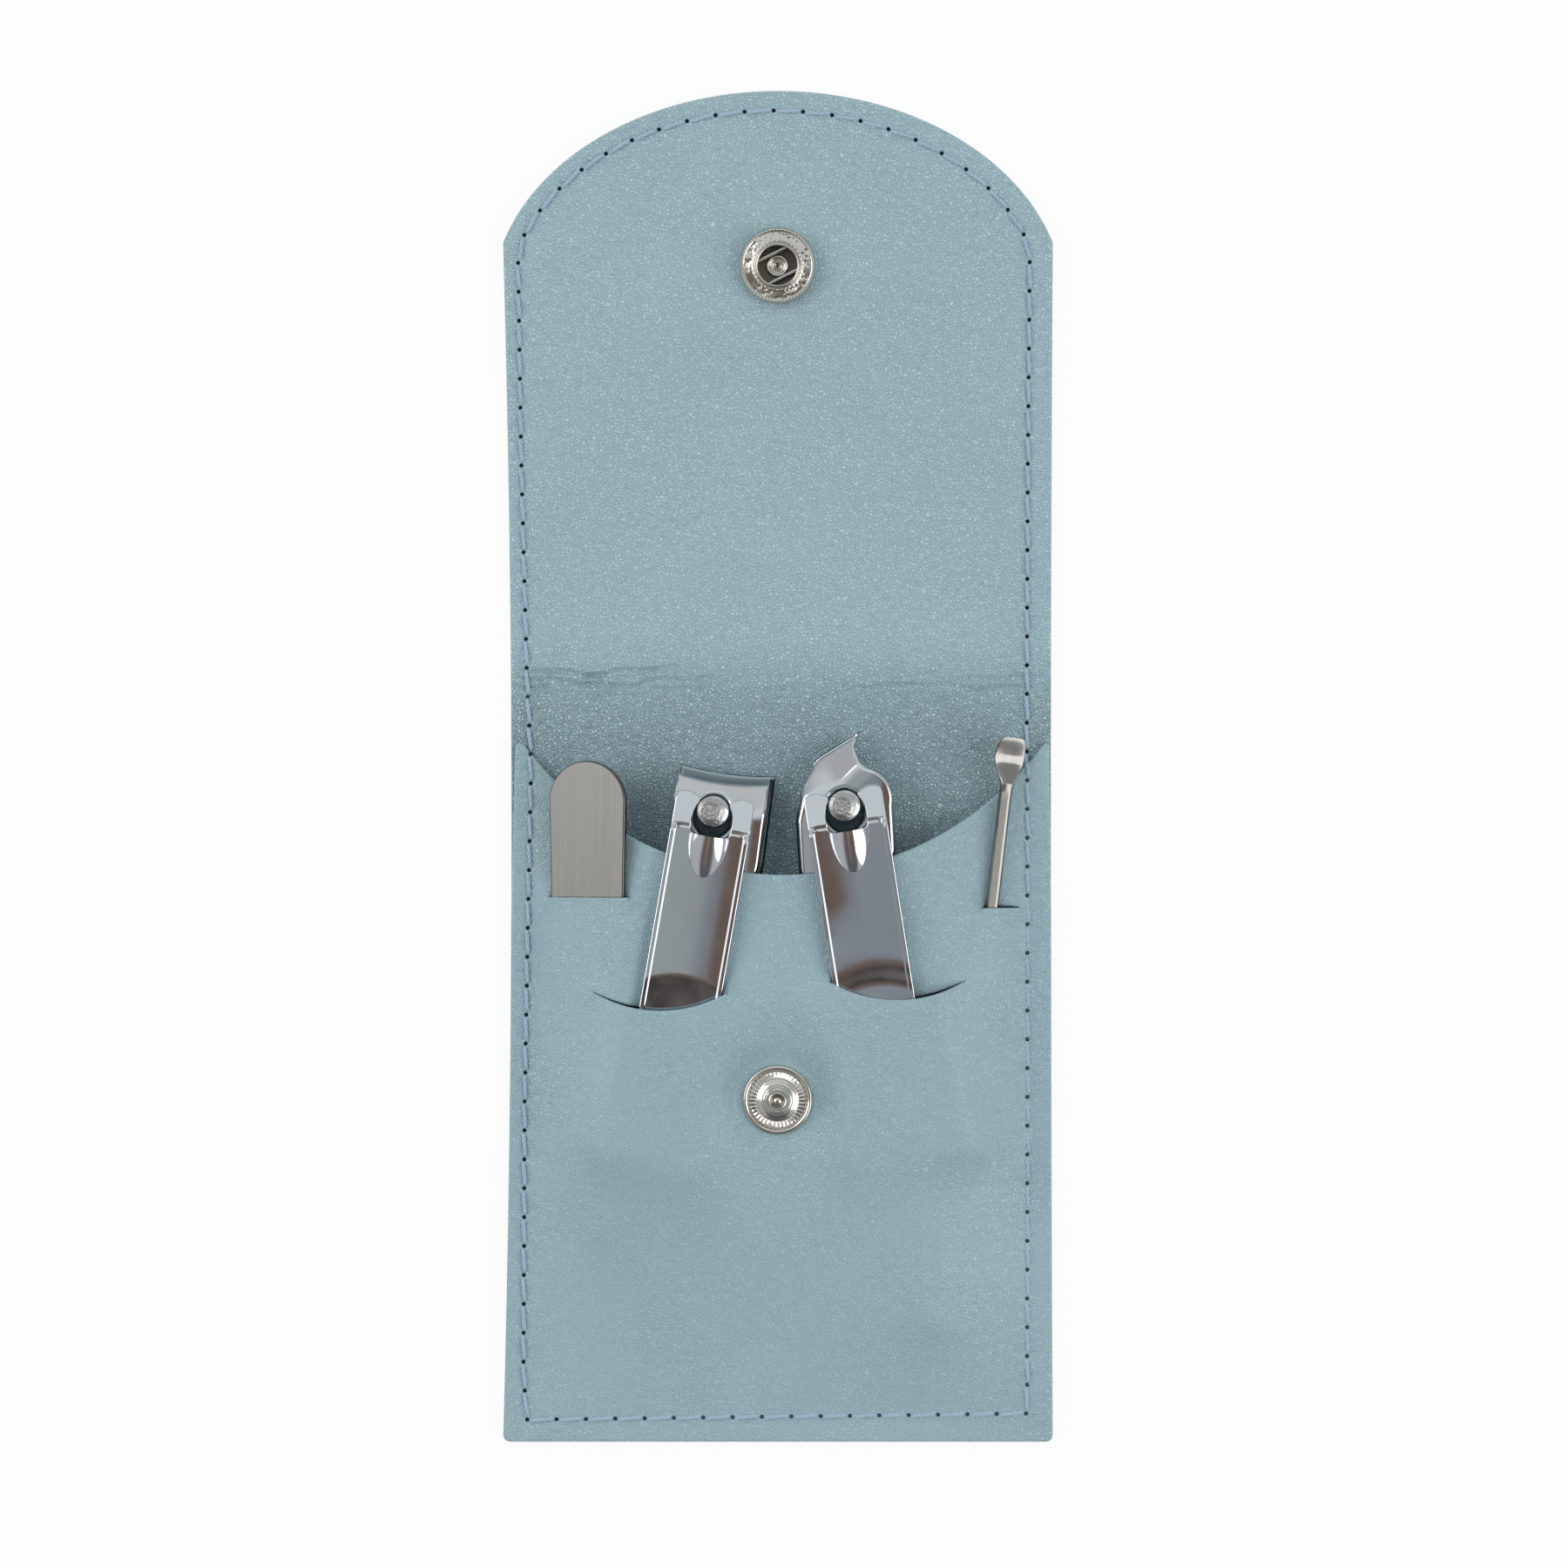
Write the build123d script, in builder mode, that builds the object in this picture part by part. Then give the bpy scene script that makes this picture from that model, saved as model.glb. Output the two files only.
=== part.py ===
from build123d import *
import os
from math import atan, atan2, cos, degrees, radians, sin, sqrt, tan

os.makedirs("parts", exist_ok=True)

# ---------------------------------------------------------------- driving sizes, mm
# The open wallet: X across, Y along (flap tip at +Y), Z up, underside on z = 0.
case_width = 72.6
pouch_depth = 100.3  # fold centre to the bottom edge
flap_reach = 78.0  # fold centre to the flap's tip
left_waist = 1.0  # how far the left side draws in at the fold
right_waist = 0.2
arch_overhang = 1.6  # the flap's tip is part of an ellipse a little wider than the case
arch_ry = 28.05
bottom_corner_radius = 0.9
shoulder_radius = 1.5

cover_thickness = 1.0
lining_thickness = 0.8
board_thickness = 0.5
board_inset = 4.2  # the stiffening boards stay inside the seam
panel_thickness = 0.8
soft_gap = 0.3  # free space round every soft piece
body_gap = 0.3  # free space between neighbouring sheets at a fold

# The ring snap that shuts the flap.
stud_x = -0.05
stud_below_fold = 54.95  # fold centre to the stud
flap_room = 0.5  # between the shut flap and the highest part of the pocket
post_rise = 0.72  # the rolled end of the socket's post, above the lining
snap_top_gap = 0.38  # between that post and the stud when the snap is shut
stud_radius = 4.55
socket_radius = 5.02
socket_height = 2.2
socket_mouth = 2.62
cap_radius = 5.4
cap_height = 0.9
post_radius = 1.2
wire_radius = 0.25
wire_offset = 1.66
wire_turn = 27.0

# The two nail clippers.
leaf_thickness = 1.1
leaf_tail = 52.0  # pin to the tail of the leaves
leaf_meet_from_tail = 10.0  # where the leaves start to part
leaf_gap = 2.8  # between the leaves at the pin
leaf_tail_gap = 0.05
jaw_drop = 0.45  # how far the upper jaw turns down below its leaf
rivet_from_tail = 5.0
rivet_radius = 1.4
tail_half_width = 4.3
pin_radius = 1.5
pin_head_radius = 2.02
pin_head_height = 1.2
pin_foot_radius = 2.7
pin_foot_height = 0.5
lever_width = 10.4
lever_floor = 0.9
lever_rim = 0.6
lever_rim_width = 0.75
lever_tail = 47.0  # pin to the lever's far end
lever_tail_corner = 2.4
lever_front = 2.2  # pin to the tips of the fork
fork_notch_gap = 0.2  # round the pin
fork_eye_gap = 0.63  # round the pin's head
fork_eye_back = 3.2
fork_droop = 14.0
dome_length = 5.4
dome_width = 5.2
dome_height = 1.4
running_fit = 0.06

# Places on the case are (X, distance below the fold's middle).
straight_pin_place = (-8.45, 17.01)
straight_body_yaw = -7.5
straight_lever_yaw = -9.9
slant_pin_place = (8.74, 16.29)
slant_body_yaw = 3.5
slant_lever_yaw = 9.0

# The flat nail file and the ear pick.
file_width = 10.7
file_length = 62.0
file_thickness = 1.0
file_from_left = 11.53  # the case's side to the file's middle
file_below_fold = 10.4
file_tail_width = 4.4
pick_from_right = 5.7
pick_below_fold = 7.3
pick_lean = 6.7
pick_length = 78.0
pick_bar = 2.0
pick_bar_thickness = 1.4
spoon_width = 4.25
spoon_length = 7.0

# The pocket panel: where its decks start and the slits that the tools pass through.
seam_width = 3.2  # the panel rises from its seam here
deck_shoulder = 17.4  # and reaches the middle deck here
side_deck_fall = 0.055  # how the side decks drop towards the bottom, per mm
bottom_deck_angle = 20.0
panel_below_fold = 8.05
panel_inset = 0.6  # how far the panel's top corners stand in from the case's sides
panel_corner_radius = 1.4
scoop_radius = 42.9
scoop_centre_place = (0.75, -17.55)
slit_gap = 0.2
arc_slit_width = 17.7
arc_slit_sagitta = 2.4
straight_slit_place = (-15.4, 43.15)  # the lowest point of each curved slit
slant_slit_place = (15.6, 41.75)
file_slit_below_fold = 28.35
pick_slit_below_fold = 29.75
lip_inner_gap = 0.45  # beside a lever, towards the middle of the case
lip_outer_gap = 4.4  # on its other side, where its tail can swing
lip_end_room = 2.8  # beyond a lever's tail
tool_side_gap = 0.58  # beside the file and the ear pick at their slits
tool_tail_gap = 1.0
tool_end_room = 1.0

# ---------------------------------------------------------------- worked-out places
sheet = cover_thickness + lining_thickness
case_length = pouch_depth + flap_reach
bottom_y = -case_length / 2
fold_y = bottom_y + pouch_depth
tip_y = bottom_y + case_length
half_width = case_width / 2
arch_rx = half_width + arch_overhang
arch_y = tip_y - arch_ry
shoulder_y = arch_y + arch_ry * sqrt(1 - (half_width / arch_rx) ** 2)


def below_fold(place):
    """The plan point of a place given by its distance below the fold."""
    return (place[0], fold_y - place[1])


straight_pin_at = below_fold(straight_pin_place)
slant_pin_at = below_fold(slant_pin_place)
file_top = below_fold((file_from_left - half_width, file_below_fold))
pick_top = below_fold((half_width - pick_from_right, pick_below_fold))
straight_slit_low = below_fold(straight_slit_place)
slant_slit_low = below_fold(slant_slit_place)
scoop_centre = below_fold(scoop_centre_place)
file_slit_y = fold_y - file_slit_below_fold
pick_slit_y = fold_y - pick_slit_below_fold
panel_top_y = fold_y - panel_below_fold
deck_foot = half_width - seam_width

clipper_z = sheet + soft_gap
leaf_meet = leaf_tail - leaf_meet_from_tail
rivet_from_pin = leaf_tail - rivet_from_tail
fork_notch = 2 * (pin_radius + fork_notch_gap)
fork_eye = 2 * (pin_head_radius + fork_eye_gap)
leaf_slope = (leaf_gap - leaf_tail_gap) / leaf_meet
leaf_pitch = atan(leaf_slope)
deck_slope = (leaf_gap - leaf_tail_gap) / leaf_tail
deck_pitch = degrees(atan(deck_slope))
deck_y = (straight_pin_at[1] + slant_pin_at[1]) / 2
leaf_top_z = clipper_z + 2 * leaf_thickness + leaf_gap
deck_z = leaf_top_z + soft_gap + 0.1
lever_n = panel_thickness + soft_gap  # the lever's underside above the deck plane
lip_n = lever_n + lever_floor + lever_rim + soft_gap  # the lips' underside above it
snap_grip = lip_n + flap_room  # leather to leather when the snap is shut
stud_height = snap_grip - post_rise - snap_top_gap

stud_y = fold_y - stud_below_fold
pitch = radians(deck_pitch)
deck_top_at_0 = deck_z - deck_y * deck_slope + panel_thickness / cos(pitch)
spine_width = (
    deck_top_at_0 * cos(pitch) + snap_grip - sheet * cos(pitch) + fold_y * sin(pitch)
) / (cos(pitch / 2) + sin(pitch) / 2)
lower_hinge_y = fold_y - spine_width / 2
upper_hinge_y = fold_y + spine_width / 2
shut_hinge_y = lower_hinge_y - spine_width * sin(pitch / 2)
shut_hinge_z = sheet + spine_width * cos(pitch / 2)
stud_z = deck_top_at_0 + stud_y * deck_slope
socket_reach = (shut_hinge_y - stud_y) * cos(pitch) + (shut_hinge_z - stud_z) * sin(pitch)
socket_y = upper_hinge_y + socket_reach
flap_lift = degrees(atan2(cap_height, socket_reach))
lower_fold = 90 + deck_pitch / 2
upper_fold = lower_fold - flap_lift
print(f"spine {spine_width:.3f} hinges {lower_hinge_y:.3f} {upper_hinge_y:.3f}")
print(f"socket y {socket_y:.3f} stud y {stud_y:.3f} z {stud_z:.3f}")
print(f"folds {lower_fold:.3f} {upper_fold:.3f} pitch {deck_pitch:.3f} lift {flap_lift:.3f}")

# ---------------------------------------------------------------- frames
flat = Plane.XY
middle_deck = Plane(
    origin=(0, deck_y, deck_z), x_dir=(1, 0, 0), z_dir=(0, -sin(pitch), cos(pitch))
)
flap_plane = Plane(
    Location((0, upper_hinge_y, sheet)) * Rotation(flap_lift, 0, 0) * Location((0, -upper_hinge_y, -sheet))
)
deck_rise = (deck_z - sheet) / (deck_foot - deck_shoulder)
left_deck = Plane(
    origin=(-deck_foot, deck_y, sheet), x_dir=(1, 0, deck_rise), z_dir=(-deck_rise, -side_deck_fall, 1)
)
right_deck = Plane(
    origin=(deck_foot, deck_y, sheet), x_dir=(1, 0, -deck_rise), z_dir=(deck_rise, -side_deck_fall, 1)
)
foot_y = bottom_y + board_inset
bottom_deck = Plane(
    origin=(0, foot_y, sheet), x_dir=(1, 0, 0),
    z_dir=(0, -sin(radians(bottom_deck_angle)), cos(radians(bottom_deck_angle))),
)


def swung(frame, turn):
    """The same frame turned about its own Z."""
    c = cos(radians(turn))
    s = sin(radians(turn))
    return Plane(origin=frame.origin, x_dir=frame.x_dir * c + frame.y_dir * s, z_dir=frame.z_dir)


def on_deck(deck, x, y, lean):
    """A frame lying on a deck under the plan point (x, y), its Y leaning clockwise by lean."""
    n = deck.z_dir
    o = deck.origin
    z = o.Z - (n.X * (x - o.X) + n.Y * (y - o.Y)) / n.Z
    ahead = Vector(sin(radians(lean)), cos(radians(lean)), 0)
    ahead = Vector(ahead.X, ahead.Y, -(n.X * ahead.X + n.Y * ahead.Y) / n.Z)
    return Plane(origin=(x, y, z), x_dir=ahead.cross(n), z_dir=n)


def height_on(plane, x, y):
    """The height of a sloping plane over a plan point."""
    n = plane.z_dir
    o = plane.origin
    return o.Z - (n.X * (x - o.X) + n.Y * (y - o.Y)) / n.Z


def wall(top, a, b, lean):
    """A plane that falls away outwards from the line a-b on a top plane, its outside on the left."""
    start = Vector(a[0], a[1], height_on(top, *a))
    end = Vector(b[0], b[1], height_on(top, *b))
    along = (end - start).normalized()
    left = Vector(-along.Y, along.X, 0).normalized()
    outward = left * sin(radians(lean)) - Vector(0, 0, 1) * cos(radians(lean))
    return Plane(origin=start, x_dir=along, z_dir=along.cross(outward))


# ---------------------------------------------------------------- the leather outline
def outline(inset):
    """The open case in plan, drawn in from its edge by an inset."""
    half = half_width - inset
    low = bottom_y + inset
    rx = arch_rx - inset
    ry = arch_ry - inset
    high = arch_y + ry * sqrt(1 - (half / rx) ** 2)
    with BuildSketch() as sketch:
        with BuildLine():
            ThreePointArc((-half, low), (-half + left_waist, fold_y), (-half, high))
            Line((-half, high), (half, high))
            ThreePointArc((half, high), (half - right_waist, fold_y), (half, low))
            Line((half, low), (-half, low))
        make_face()
        with BuildSketch(mode=Mode.PRIVATE) as arch:
            with Locations((0, arch_y)):
                Ellipse(rx, ry)
            with Locations((0, high)):
                Rectangle(2 * case_width, ry, align=(Align.CENTER, Align.MIN), mode=Mode.INTERSECT)
        add(arch.sketch)
        fillet(sketch.vertices().group_by(Axis.Y)[0], bottom_corner_radius)
        fillet([v for v in sketch.vertices() if abs(v.Y - high) < 0.01], shoulder_radius)
    return sketch.sketch


case_outline = outline(0)
board_outline = outline(board_inset)


def y_band(low, high):
    """A rectangle across the whole case between two Y places."""
    with Locations((0, (low + high) / 2)):
        return Rectangle(2 * case_width, high - low, mode=Mode.INTERSECT)


# ---------------------------------------------------------------- pouch back
back_end = lower_hinge_y - body_gap / 2
board_low = bottom_y - 1
with BuildPart() as back_board:
    with BuildSketch(flat.offset(cover_thickness - board_thickness)):
        add(board_outline)
        y_band(board_low, back_end - 2)
    extrude(amount=board_thickness)
back_board.part.label = "back_board"

with BuildPart() as back_cover:
    with BuildSketch(flat):
        add(case_outline)
        y_band(board_low, back_end)
    extrude(amount=cover_thickness)
    add(back_board.part, mode=Mode.SUBTRACT)
back_cover.part.label = "back_cover"

with BuildPart() as back_lining:
    with BuildSketch(flat.offset(cover_thickness)):
        add(case_outline)
        y_band(board_low, back_end)
    extrude(amount=lining_thickness)
back_lining.part.label = "back_lining"

# ---------------------------------------------------------------- spine
spine_low = lower_hinge_y + body_gap / 2
spine_high = upper_hinge_y - body_gap / 2
with BuildPart() as spine_cover:
    with BuildSketch(flat):
        add(case_outline)
        y_band(spine_low, spine_high)
    extrude(amount=cover_thickness)
spine_cover.part.label = "spine_cover"

with BuildPart() as spine_lining:
    with BuildSketch(flat.offset(cover_thickness)):
        add(case_outline)
        y_band(spine_low, spine_high)
    extrude(amount=lining_thickness)
spine_lining.part.label = "spine_lining"

# ---------------------------------------------------------------- flap
flap_start = upper_hinge_y + body_gap / 2
socket_at = (stud_x, socket_y)
post_hole = post_radius + running_fit
with BuildPart() as flap_board:
    with BuildSketch(flap_plane.offset(cover_thickness - board_thickness)):
        add(board_outline)
        y_band(flap_start + 2, tip_y)
        with Locations(socket_at):
            Circle(post_hole, mode=Mode.SUBTRACT)
    extrude(amount=board_thickness)
flap_board.part.label = "flap_board"

with BuildPart() as flap_cover:
    with BuildSketch(flap_plane):
        add(case_outline)
        y_band(flap_start, tip_y + 1)
        with Locations(socket_at):
            Circle(post_hole, mode=Mode.SUBTRACT)
    extrude(amount=cover_thickness)
    add(flap_board.part, mode=Mode.SUBTRACT)
    with BuildSketch(flap_plane):
        with Locations(socket_at):
            Circle(post_hole)
    extrude(amount=cover_thickness, mode=Mode.SUBTRACT)
flap_cover.part.label = "flap_cover"

with BuildPart() as flap_lining:
    with BuildSketch(flap_plane.offset(cover_thickness)):
        add(case_outline)
        y_band(flap_start, tip_y + 1)
        with Locations(socket_at):
            Circle(post_hole, mode=Mode.SUBTRACT)
    extrude(amount=lining_thickness)
flap_lining.part.label = "flap_lining"

# ---------------------------------------------------------------- snap socket on the flap
socket_frame = Plane(
    origin=flap_plane.from_local_coords(Vector(stud_x, socket_y, 0)),
    x_dir=(1, 0, 0), z_dir=flap_plane.z_dir,
)


def section_plane(frame):
    """The upright plane through a round piece's axis: X is the radius, Y the height."""
    return Plane(origin=frame.origin, x_dir=frame.x_dir, z_dir=-frame.y_dir)


def turned(frame, points):
    """Turn a round piece about a frame's Z from a half section of (radius, height) points."""
    with BuildSketch(section_plane(frame)) as section:
        with BuildLine():
            Polyline(*points, close=True)
        make_face()
    revolve(section.sketch, axis=Axis(frame.origin, frame.z_dir))


with BuildPart() as snap_cap:
    turned(
        socket_frame,
        [
            (0, -cap_height), (cap_radius * 0.75, -cap_height * 0.78), (cap_radius, -0.3),
            (cap_radius - 0.35, 0), (post_radius, 0), (post_radius, sheet + 0.35 + running_fit),
            (1.55, sheet + 0.5), (1.1, sheet + post_rise), (0, sheet + 0.1),
        ],
    )
snap_cap.part.label = "snap_cap"

socket_face = socket_frame.offset(sheet)
h = socket_height
with BuildPart() as snap_socket:
    turned(
        socket_face,
        [
            (post_hole, 0), (socket_radius - 0.15, 0), (socket_radius, h - 0.6),
            (socket_radius - 0.6, h), (socket_mouth, h), (socket_mouth, h - 0.42),
            (3.65, h - 0.42), (3.65, h - 1.1), (2.95, h - 1.1), (2.95, 0.35), (post_hole, 0.35),
        ],
    )
snap_socket.part.label = "snap_socket"

wire_reach = 3.3  # to the middle of the wire in the socket's groove
wire_half = sqrt(wire_reach**2 - wire_offset**2)
wire_angle = degrees(atan2(wire_offset, wire_half))
spring_frame = swung(socket_face.offset(h - 0.76), wire_turn)
with BuildPart() as snap_spring:
    for side in (-1, 1):
        with BuildSketch(
            Plane(
                origin=spring_frame.from_local_coords(Vector(-wire_half, side * wire_offset, 0)),
                x_dir=spring_frame.z_dir, z_dir=spring_frame.x_dir,
            )
        ):
            RegularPolygon(wire_radius, 6)
        extrude(amount=2 * wire_half)
    bend = swung(spring_frame, -wire_angle)
    with BuildSketch(Plane(origin=bend.origin, x_dir=bend.x_dir, z_dir=-bend.y_dir)):
        with Locations((wire_reach, 0)):
            RegularPolygon(wire_radius, 6)
    revolve(axis=Axis(bend.origin, bend.z_dir), revolution_arc=2 * wire_angle)
snap_spring.part.label = "snap_spring"

# ---------------------------------------------------------------- snap stud on the panel
stud_frame = Plane(
    origin=(stud_x, stud_y, stud_z), x_dir=(1, 0, 0), z_dir=middle_deck.z_dir
)
stud_bore = 0.9
post_outside = stud_bore - 0.04
with BuildPart() as snap_stud:
    turned(
        stud_frame,
        [
            (stud_bore, 0), (stud_radius, 0), (stud_radius, 0.35), (stud_radius - 0.3, 0.5),
            (3.85, 0.3), (2.6, 0.5), (1.28, 1.4), (1.28, stud_height - 0.15), (stud_bore, stud_height),
        ],
    )
snap_stud.part.label = "snap_stud"

with BuildPart() as snap_stud_post:
    turned(
        stud_frame,
        [
            (0, -panel_thickness - 0.45), (3.1, -panel_thickness - 0.45), (3.1, -panel_thickness),
            (post_outside, -panel_thickness), (post_outside, stud_height - 0.4), (0, stud_height - 0.25),
        ],
    )
snap_stud_post.part.label = "snap_stud_post"

# ---------------------------------------------------------------- clippers


def clipper_frame(pin_at, yaw):
    """The flat frame of a clipper: its origin under the pin, Y towards the jaws."""
    return swung(Plane(origin=(pin_at[0], pin_at[1], clipper_z)), yaw)


def side_of(frame, turn=0.0):
    """The upright plane along a frame's Y, for side profiles; turn swings it for a slanted jaw."""
    along = swung(frame, turn)
    return Plane(origin=frame.origin, x_dir=along.y_dir, z_dir=along.x_dir)


tail_shoulder = tail_half_width - leaf_tail


def straight_plan(plane, left, right, front, hollow):
    """A straight clipper leaf in plan: a hollowed front, sides easing in to a round tail."""
    with BuildSketch(plane) as plan:
        with BuildLine():
            ThreePointArc((left, front), ((left + right) / 2, front - hollow), (right, front))
            Polyline((right, front), (right, -6), (tail_half_width, tail_shoulder))
            ThreePointArc(
                (tail_half_width, tail_shoulder), (0, -leaf_tail), (-tail_half_width, tail_shoulder)
            )
            Polyline((-tail_half_width, tail_shoulder), (left, -6), (left, front))
        make_face()
    return plan.sketch


slant_tip = (3.28, 9.65)
slant_heel = (-3.08, 6.2)


def slant_plan(plane, grow, half):
    """A slant clipper leaf in plan: a beak with a slanted edge, then the same body and tail."""
    tip = (slant_tip[0], slant_tip[1] + grow)
    heel = (slant_heel[0], slant_heel[1] + grow)
    with BuildSketch(plane) as plan:
        with BuildLine():
            Line(tip, heel)
            ThreePointArc(heel, (-4.6, 4.1), (0.9 - half, 1.9))
            Polyline((0.9 - half, 1.9), (-half, -1.6), (-half, -8), (-tail_half_width, tail_shoulder))
            ThreePointArc(
                (-tail_half_width, tail_shoulder), (0, -leaf_tail), (tail_half_width, tail_shoulder)
            )
            Polyline((tail_half_width, tail_shoulder), (half, -8), (half, -0.4))
            ThreePointArc((half, -0.4), (5.5, 3.3), (3.4, 4.75))
            ThreePointArc((3.4, 4.75), (2.05, 6.4), tip)
        make_face()
    return plan.sketch


def upper_profile(plane, edge):
    """Side profile of the upper leaf's plate, from where the leaves part to the turned-down jaw."""
    t = leaf_thickness
    back = edge - 3.3
    with BuildSketch(plane) as profile:
        with BuildLine():
            Polyline((back, t), (-leaf_tail, t), (-leaf_tail, 0), (back - 0.2, 0))
            ThreePointArc((back - 0.2, 0), (edge - 1.6, -0.3), (edge - 0.2, -t - jaw_drop))
            Line((edge - 0.2, -t - jaw_drop), (edge, -t - jaw_drop + 0.07))
            ThreePointArc((edge, -t - jaw_drop + 0.07), (edge - 0.95, t - 0.65), (back, t))
        make_face()
    return profile.sketch


def lower_profile(plane, edge):
    """Side profile of the lower leaf: flat, with its jaw turned up to the cutting edge."""
    t = leaf_thickness
    back = edge - 4.1
    end = -leaf_tail - 1
    with BuildSketch(plane) as profile:
        with BuildLine():
            Line((end, 0), (back, 0))
            ThreePointArc((back, 0), (edge - 1.4, 0.38), (edge, t + 0.42))
            Line((edge, t + 0.42), (edge - 0.2, t + 0.52))
            ThreePointArc((edge - 0.2, t + 0.52), (edge - 1.7, t + 0.13), (back - 0.2, t))
            Polyline((back - 0.2, t), (end, t), (end, 0))
        make_face()
    return profile.sketch


def pin_and_rivet_holes(frame, pin_hole, rivet_hole):
    """Cut the pin's and the rivet's holes right through a leaf."""
    with BuildSketch(frame.offset(-1)) as holes:
        Circle(pin_hole)
        with Locations((0, -rivet_from_pin)):
            Circle(rivet_hole)
    extrude(holes.sketch, amount=12, mode=Mode.SUBTRACT)


def clipper_leaves(name, pin_at, yaw, turn, lower_edge, upper_edge, plan, lower_sizes, upper_sizes):
    """Both leaves of a clipper: side profile through the width, trimmed to its plan outline."""
    frame = clipper_frame(pin_at, yaw)
    side = side_of(frame, turn)
    tail_low = leaf_thickness + leaf_tail_gap
    meet = Plane(
        origin=frame.from_local_coords(Vector(0, -leaf_meet, tail_low)),
        x_dir=frame.x_dir, z_dir=frame.y_dir,
    )
    plate = Plane(
        origin=frame.from_local_coords(Vector(0, 0, tail_low + leaf_slope * leaf_meet)),
        x_dir=frame.x_dir,
        z_dir=frame.z_dir * cos(leaf_pitch) - frame.y_dir * sin(leaf_pitch),
    )
    with BuildPart() as lower:
        extrude(lower_profile(side, lower_edge), amount=60, both=True)
        extrude(plan(frame.offset(-2), *lower_sizes), amount=16, mode=Mode.INTERSECT)
        pin_and_rivet_holes(frame, pin_radius + running_fit, rivet_radius)
        with BuildSketch(frame):
            Circle(pin_foot_radius + running_fit)
        extrude(amount=pin_foot_height + running_fit, mode=Mode.SUBTRACT)
    lower.part.label = name + "_lower_leaf"
    with BuildPart() as upper:
        extrude(upper_profile(side_of(plate, turn), upper_edge), amount=60, both=True)
        split(bisect_by=meet, keep=Keep.TOP)
        with BuildSketch(Plane(origin=meet.origin, x_dir=frame.x_dir, z_dir=frame.z_dir)):
            Rectangle(40, leaf_tail - leaf_meet + 5, align=(Align.CENTER, Align.MAX))
        extrude(amount=leaf_thickness)
        extrude(plan(frame.offset(-2), *upper_sizes), amount=16, mode=Mode.INTERSECT)
        pin_and_rivet_holes(frame, pin_radius + 0.6, rivet_radius + 0.1)
    upper.part.label = name + "_upper_leaf"
    return lower, upper


def clipper_rivet(name, pin_at, yaw):
    """The tubular rivet that holds the leaves' tails together."""
    frame = clipper_frame(pin_at, yaw)
    at = Plane(
        origin=frame.from_local_coords(Vector(0, -rivet_from_pin, 0)), x_dir=frame.x_dir, z_dir=(0, 0, 1)
    )
    top = 2 * leaf_thickness + leaf_tail_gap + 0.2
    with BuildPart() as rivet:
        turned(
            at,
            [
                (0.8, 0), (rivet_radius, 0), (rivet_radius, top), (rivet_radius + 0.55, top),
                (0.8, top + 0.3),
            ],
        )
    rivet.part.label = name + "_rivet"
    return rivet


def clipper_pin(name, pin_at, yaw):
    """The pin: a foot let into the lower leaf, the shank and the head over the lever's fork."""
    frame = clipper_frame(pin_at, yaw)
    pin_deck_z = deck_z + (pin_at[1] - deck_y) * deck_slope
    head = pin_deck_z + (lever_n + lever_floor) * cos(pitch) + 0.15 - clipper_z
    with BuildPart() as pin:
        turned(
            frame,
            [
                (0, 0.02), (pin_foot_radius, 0.02), (pin_foot_radius, pin_foot_height),
                (pin_radius, pin_foot_height), (pin_radius, head), (pin_head_radius, head),
                (pin_head_radius, head + pin_head_height - 0.5),
                (pin_head_radius - 0.65, head + pin_head_height), (0, head + pin_head_height),
            ],
        )
    pin.part.label = name + "_pin"
    return pin


# The fulcrum dome is a blunt cone lying in the lever's floor, its axis dipping below the floor
# so that only a cap as wide and as high as asked for stands out of it.
dome_sink = (dome_width**2 / 4 - dome_height**2) / (2 * dome_height)
dome_dip = atan2(dome_sink, dome_length)
dome_start = -fork_eye_back - dome_length
dome_reach = sqrt(dome_length**2 + dome_sink**2)
dome_end_radius = (dome_height + dome_sink) * cos(dome_dip)


def dome_point(along, off):
    """A point of the dome's half section, in the lever's side plane."""
    y = dome_start + along * cos(dome_dip) + off * sin(dome_dip)
    z = lever_n + lever_floor - along * sin(dome_dip) + off * cos(dome_dip)
    return (y, z)


def lever_frame(pin_at, yaw):
    """The frame of a lever: its origin where the pin meets the middle deck."""
    pin_deck_z = deck_z + (pin_at[1] - deck_y) * deck_slope
    flat_on_deck = Plane(
        origin=(pin_at[0], pin_at[1], pin_deck_z), x_dir=(1, 0, 0), z_dir=middle_deck.z_dir
    )
    return swung(flat_on_deck, yaw)


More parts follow.
